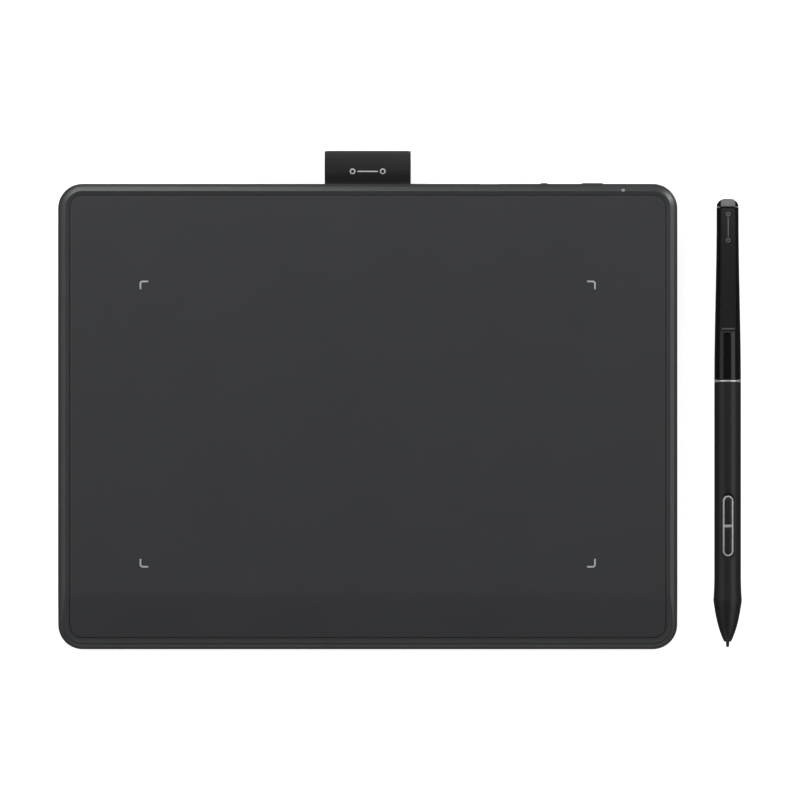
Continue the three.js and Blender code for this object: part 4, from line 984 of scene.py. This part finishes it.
def grip():
    """The grip tube, with a shallow dish round the keys, a pocket for their frame and an opening below."""
    start, end = NOSE_END + 0.05, RING_START - 0.05
    profile = [(start, BORE), (start, nose_radius(start) - 0.07)]
    profile += line_of(nose_radius, start + 0.09, SHOULDER, 6)
    profile += line_of(grip_radius, SHOULDER + 0.8, GRIP_START, 12)
    profile += [(end - 0.1, GRIP_RADIUS), (end, GRIP_RADIUS - 0.07), (end, BORE)]
    tube = mesh_of("grip", lathe(profile, 128), offset=ON_PEN)

    def seat(margin, low):
        def shape(inset):
            return stadium(KEYS_WIDTH + 2 * margin, KEYS_LENGTH + 2 * margin, inset, 18)

        return mesh_of("seat", upward(shape, [(0, low), (0, 4.4), (0, OVER_GRIP)]), offset=ON_KEYS)

    def dish(inset):
        return stadium(KEYS_WIDTH + 1.1, KEYS_LENGTH + 1.9, inset, 18)

    floor = RECESS_FLOOR
    hollow = upward(dish, [(0.25, floor), (0.06, floor + 0.06), (0, floor + 0.2), (-0.35, OVER_GRIP)])
    recess = mesh_of("recess", hollow, offset=ON_KEYS)
    pocket = seat(0.1, BEZEL_TOP - 0.75)
    opening = seat(-BEZEL_LINE / 2, 1.0)
    piece("grip", carved(tube, recess, pocket, opening), "pen_matte", "pen", "lower_barrel")


def key_outline(side, margin):
    """A key's outline: square towards the crossbar, with its corners eased, and round at its far end."""
    half = KEYS_WIDTH / 2 - BEZEL_LINE - margin
    near = BEZEL_BAR / 2 + margin
    far = KEYS_LENGTH / 2 - BEZEL_LINE - margin - half
    points = [(half, near), (half, near + 0.5), (half, (near + far) / 2)]
    turn = [pi * i / 16 for i in range(17)]
    points += [(half * cos(a), far + half * sin(a)) for a in turn]
    points += [(-half, (near + far) / 2), (-half, near + 0.5), (-half, near)]
    return [(x, side * y) for x, y in points]


def bezel():
    """The bright frame round both keys, with its crossbar, and softly rounded edges."""
    foot = BEZEL_TOP - 0.7

    def outline(inset):
        return stadium(KEYS_WIDTH, KEYS_LENGTH, inset, 24)

    edge = [(0, BEZEL_TOP - 0.1), (0.03, BEZEL_TOP - 0.03), (0.1, BEZEL_TOP)]
    plate = mesh_of("bezel", upward(outline, [(0, foot), *edge]), offset=ON_KEYS)
    rings = [(0, foot - 1), *((-inset, height) for inset, height in edge), (-0.1, BEZEL_TOP + 1)]
    holes = []
    for side in (-1, 1):
        hole = upward(lambda inset, s=side: key_outline(s, inset), rings)
        holes.append(mesh_of("hole", hole, offset=ON_KEYS))
    piece("bezel", carved(plate, *holes), "silver", "pen", "button_bezel")


def pen_key(side, node, body):
    """A side key: its flange under the bezel and a long crowned cap."""
    low, high = box_mm(node)
    foot, face = low.z - PEN_Z, high.z - PEN_Z

    def outline(inset):
        return key_outline(side, KEY_GAP + inset)

    rings = [(0, foot), (0, face - 0.42), (0.04, face - 0.26), (0.14, face - 0.14), (0.3, face - 0.06),
             (0.6, face - 0.01), (0.9, face)]
    flange_far = KEYS_LENGTH / 2
    flange_near = BEZEL_BAR / 2 + KEY_GAP
    half_y = (flange_far - flange_near) / 2
    middle = side * (flange_far + flange_near) / 2
    flange = [(x, y + middle) for x, y in rounded_rectangle(1.6, half_y, 0.3, 4)]
    cap_mesh = mesh_of(node, upward(outline, rings), offset=ON_KEYS)
    base = mesh_of("flange", prism(flange, foot + 0.002, foot + 0.5), offset=ON_KEYS)
    name = f"key_{node.split('_')[0]}"
    piece(name, carved(cap_mesh, base, operation="UNION"), "pen_matte", body, node)


def accent_ring():
    """The bright ring between the grip and the head."""
    radius = GRIP_RADIUS
    edge = [(0, BORE - 0.05), (0, radius - 0.06), (0.05, radius + 0.01), (0.15, radius + 0.03)]
    profile = [(RING_START + s, r) for s, r in edge] + [(RING_END - s, r) for s, r in reversed(edge)]
    piece("ring", [lathe(profile)], "silver", "pen", "accent_ring", offset=ON_PEN)


CLIP_ROOT = 2.6
CLIP_PIVOT = 151.0
CLIP_PIVOT_Z = 3.3
CLIP_REAR = HEAD_END - 0.2
CLIP_FREE = 110.6
CLIP_TIP = CLIP_FREE + 0.7  # where the turned-down end is lowest
CLIP_LAST = CLIP_FREE + 1.7  # where the plate ends and its turned-down end starts
CLIP_THICKNESS = 1.0
CLIP_STANDOFF = 0.7
CLIP_BOW_START = 128.0
CLIP_BOW_TOP = 0.66
CLIP_BOW_UNDER = 0.3


def head():
    start = RING_END + 0.05
    profile = [(HEAD_START, HEAD_BORE), (HEAD_START, BORE - 0.1), (start, BORE - 0.1),
               (start, GRIP_RADIUS - 0.08)]
    profile += line_of(head_radius, start + 0.1, HEAD_END - 0.12, 40)
    profile += [(HEAD_END, HEAD_RADIUS - 0.1), (HEAD_END, HEAD_BORE)]
    tube = mesh_of("head", lathe(profile, 128), offset=ON_PEN)
    half = CLIP_ROOT / 2 + 0.3
    slot = [(x, y + CLIP_PIVOT - 0.25) for x, y in rounded_rectangle(half, 2.25, 0.4, 4)]
    cutter = mesh_of("slot", prism(slot, 1.5, 6), offset=ON_PEN)
    piece("head", carved(tube, cutter), "pen_gloss", "pen", "upper_barrel")


CAP_START = HEAD_END + 0.15
CAP_LENGTH = PEN_LENGTH - CAP_START
CAP_RISE = 1.15


def cap():
    """The domed end cap, raised on its upper side towards the clip's plate."""
    plug, steps = CAP_START - 1.1, 20
    profile = [(plug, 0), (plug, HEAD_BORE - 0.1), (CAP_START, HEAD_BORE - 0.1)]
    for angle in (pi / 2 * i / steps for i in range(steps)):
        profile.append((CAP_START + CAP_LENGTH * sin(angle), HEAD_RADIUS * cos(angle) ** 0.8))
    profile.append((PEN_LENGTH, 0))
    vertices, faces = lathe(profile, 128)
    raised = [(x, s, z * (CAP_RISE if z > 0 and s >= CAP_START else 1)) for x, s, z in vertices]
    piece("cap", [(raised, faces)], "pen_gloss", "pen", "end_cap", offset=ON_PEN)


def cap_plate():
    """The saddle over the cap that carries the clip plate's line on to the end of the pen; its light grey
    colour is a painted highlight for the lit band over the dome.
    """
    start, far = CAP_START + 0.05, PEN_LENGTH - 0.02
    top, low, half_wide, steps = 4.88, 1.0, 2.5, 14
    lines = [(half_wide - 0.25, 0), (half_wide, 0.25)]
    rings = []
    for i in range(steps + 1):
        angle = radians(78) * i / steps
        s = start + (far - start) * sin(angle)
        z = low + (top - low) * cos(angle) ** 0.9
        reach = 1 - ((s - CAP_START) / CAP_LENGTH) ** 2
        limit = HEAD_RADIUS * max(reach, 0) ** 0.4 + 0.02
        upper = [(min(x, limit - drop * 0.6), s, z - drop) for x, drop in lines]
        foot = (upper[-1][0], s - 0.5 * i / steps, max(z - 2.0, 0.6))
        rings.append(mirrored([foot, *reversed(upper)]))
    piece("cap_plate", [skin(rings)], "pen_matte", "pen", offset=ON_PEN, sharp=28, finish=SADDLE_HIGHLIGHT_PAINT)


def clip_bow(along, depth):
    """How far the plate has bowed down towards the cap at a distance from the tip."""
    return depth * max((along - CLIP_BOW_START) / (CLIP_REAR - CLIP_BOW_START), 0) ** 2.5


def clip_line(along):
    """The height at which the plate's underside would run if it didn't bow."""
    low = head_radius(CLIP_PIVOT) + CLIP_STANDOFF
    high = head_radius(CLIP_TIP) + CLIP_STANDOFF
    return low + (high - low) * (along - CLIP_PIVOT) / (CLIP_TIP - CLIP_PIVOT)


def clip_under(along):
    return clip_line(along) - clip_bow(along, CLIP_BOW_UNDER)


def clip_top(along):
    return clip_line(along) + CLIP_THICKNESS - clip_bow(along, CLIP_BOW_TOP)


def clip():
    """The sprung clip: a tapered plate with bevelled edges, a turned-down end, and a root in the barrel."""
    tip_under = head_radius(CLIP_TIP) + 0.3
    start = CLIP_REAR - 0.4
    stations = [  # distance from the tip, underside, top, half width, bevel
        (CLIP_REAR, clip_under(CLIP_REAR), clip_top(CLIP_REAR) - 0.3, 2.35, 0.25),
        (CLIP_REAR - 0.12, clip_under(CLIP_REAR), clip_top(CLIP_REAR) - 0.1, 2.5, 0.3),
        (start, clip_under(CLIP_REAR), clip_top(start), 2.6, 0.34),
    ]
    last, steps = CLIP_LAST, 32
    for i in range(1, steps + 1):
        s = start + (last - start) * i / steps
        stations.append((s, clip_under(s), clip_top(s), 2.6 + 0.1 * i / steps, 0.42))
    top = clip_top(last)
    stations += [
        (last - 0.15, clip_under(last) - 0.05, top - 0.06, 2.7, 0.42),
        (last - 0.75, tip_under + 0.2, top - 0.55, 2.66, 0.36),
        (last - 0.85, tip_under, top - 0.7, 2.45, 0.3),
        (CLIP_FREE + 0.3, tip_under, tip_under + 0.62, 2.0, 0.22),
        (CLIP_FREE, tip_under, tip_under + 0.4, 1.7, 0.18),
    ]
    rings = []
    for s, low, high, half, bevel in stations:
        edge, flat = 0.12, half - bevel
        right = [(half - edge, low), (half, low + edge), (half, high - bevel), (flat, high),
                 (flat - 0.1, high)]
        rings.append(ring([*right, (0, high), *((-x, z) for x, z in reversed(right))], s, "y"))
    root, rise = 0.75, clip_under(CLIP_PIVOT) + 0.5
    turn = [pi * i / 16 for i in range(17)]
    curve = [(CLIP_PIVOT - root * cos(a), CLIP_PIVOT_Z - root * sin(a)) for a in turn]
    outline = [(CLIP_PIVOT - root, rise), *curve, (CLIP_PIVOT + root, rise)]
    sides = [[(x, *point) for point in outline] for x in (-CLIP_ROOT / 2, CLIP_ROOT / 2)]
    shapes = [skin(rings), skin(sides)]
    piece("clip_plate", shapes, "pen_matte", "clip", "clip", offset=ON_PEN, sharp=20, finish=CLIP_FINISH)


def clip_edge_painted_highlight():
    """A painted highlight: a light grey edge across the plate's turned-down end, standing in for the light
    that its chamfer catches.
    """
    last = CLIP_LAST
    rings = []
    for lift in (0.03, -0.1):
        rings.append(mirrored([
            (-2.25, last - 0.18, clip_top(last) - 0.075 + lift),
            (-2.2, last - 0.72, clip_top(last) - 0.515 + lift),
        ]))
    piece("clip_edge_painted_highlight", [skin(rings)], "pen_matte", "clip", offset=ON_PEN, finish=EDGE_HIGHLIGHT_PAINT)


def clip_ornament():
    middle, half_long, half_wide, stroke, steps = 147.5, 5.3, 0.72, 0.24, 16

    def place(along, across, lift):
        return (across, middle + along, clip_top(middle + along) + lift)

    reach = half_long - 2 * half_wide - 0.5
    along = [reach * (2 * i / steps - 1) for i in range(steps + 1)]
    bar = [(s, stroke / 2) for s in along] + [(s, -stroke / 2) for s in reversed(along)]
    shapes = ornament(half_long, half_wide, stroke, 32, bar, (-0.02, 0.015), place, strips=True)
    piece("clip_ornament", shapes, "white_plastic", "clip", offset=ON_PEN, finish=FAINT_PRINT)


# ---- everything


def finish_cad_nodes():
    """Gives each CAD node that is still shown the finish of what it is made of."""
    made_of = {
        "steel": ["loop_clamp", "radio_module", "shield_plate", "pressure_sensor"]
        + [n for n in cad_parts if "screw" in n],
        "epoxy": ["loop_spacer", "power_switch", "pairing_switch", "processor", "front_switch",
                  "rear_switch", "inner_frame"],
        "circuit_board": ["main_board", "sensor_board", "pen_board"],
        "white_plastic": ["status_led", "ribbon_connector", "battery_socket", "battery_tape", "nib_holder"],
        "battery_foil": ["battery"],
        "flex_film": ["sensor_ribbon"],
        "label_film": ["rating_label"],
        "red_wire": ["battery_lead_red"],
        "black_wire": ["battery_lead_black"],
        "ferrite": ["ferrite_core"],
        "copper": ["coil"],
    }
    for slot, nodes in made_of.items():
        for node in nodes:
            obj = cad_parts[node]
            obj.data.materials.clear()
            obj.data.materials.append(FINISHES[slot].material)


def studio_sheet(name, vertices, faces, scale, tones, strength):
    """A sheet of the studio that gives off its own light and shows in no reflection."""
    mesh = bpy.data.meshes.new(name)
    mesh.from_pydata(vertices, [], faces)
    sheet = shown(name, mesh)
    finish = Finish(name, 0.9)
    finish.colour(finish.noise(scale, detail=1), *((tone, tone, tone, 1) for tone in tones))
    finish.glow(strength)
    mesh.materials.append(finish.material)
    sheet.visible_glossy = False
    return sheet


def lights_and_camera():
    lit = bpy.data.worlds.new("studio")
    lit.use_nodes = True
    bpy.context.scene.world = lit
    background = lit.node_tree.nodes["Background"]
    background.inputs["Color"].default_value = (1, 1, 1, 1)
    background.inputs["Strength"].default_value = 0.07
    bpy.context.scene.view_settings.view_transform = "Standard"

    reach, sides = 8.5, 96
    low = ring(circle(reach, sides), 0)
    high = ring(circle(reach, sides), reach)
    studio_sheet("floor", low, [tuple(range(sides))], 3, (0.6, 0.62), 0.82)
    strips = [(i, (i + 1) % sides, (i + 1) % sides + sides, i + sides) for i in range(sides)]
    backdrop = studio_sheet("backdrop", low + high, strips, 0.05, (0.02, 0.03), 0.86)
    backdrop.visible_diffuse = False
    backdrop.visible_shadow = False

    for name, place, aim, width, length, power in (
        ("key", (-0.35, 0.6, 0.58), (0, 0, 0), 0.5, 0.5, 4.9),
        ("right", (0.71, -0.05, 0.535), (0.115, -0.05, 0), 1.25, 0.5, 2.9),
        ("left", (-0.58, 0.0, 0.46), (0.0, 0, 0), 0.9, 0.5, 1.1),
        ("rear", (-0.12, 0.36, 0.10), (-0.1, 0.08, 0), 0.14, 0.1, 0.1),
        ("corner", (0.36, 0.25, 0.12), (0.1, 0.07, 0), 0.12, 0.1, 0.6),
        ("front", (0.0, -0.45, 0.13), (0, -0.08, 0), 0.7, 0.12, 0.45),
        ("top", (0.1, 0.5, 1.2), (0.115, 0.06, 0), 0.25, 0.25, 0.5),
    ):
        lamp = bpy.data.lights.new(name, "AREA")
        lamp.shape = "RECTANGLE"
        lamp.size = width
        lamp.size_y = length
        lamp.energy = power
        holder = shown(name, lamp)
        holder.location = place
        holder.rotation_euler = (Vector(aim) - Vector(place)).to_track_quat("-Z", "Y").to_euler()

    camera = bpy.data.cameras.new("camera")
    camera.lens = 400
    camera.sensor_width = 36
    seen_width = 0.2812
    camera.clip_end = 100
    viewer = shown("camera", camera)
    viewer.location = (0, 0, seen_width * camera.lens / camera.sensor_width + PEN_Z * MM)
    bpy.context.scene.camera = viewer


lights_and_camera()
finish_cad_nodes()
case_top()
drawing_surface()
surface_border()
case_bottom()
for foot_node in FEET:
    foot(foot_node)
for screw_node in SCREW_NODES:
    case_screw(screw_node)
ribbon()
usb_port()
rear_key("power_key", "power_button", POWER_WIDTH, POWER_HEIGHT, 0.5)
rear_key("pairing_key", "pairing_button", PAIRING_DIAMETER, PAIRING_DIAMETER - 0.001, 0.25)
status_window()
corner_marks()
nose()
nib_tip()
grip()
bezel()
pen_key(-1, "front_button", "pen_front_button")
pen_key(1, "rear_button", "pen_rear_button")
accent_ring()
head()
cap()
cap_plate()
clip()
clip_edge_painted_highlight()
clip_ornament()
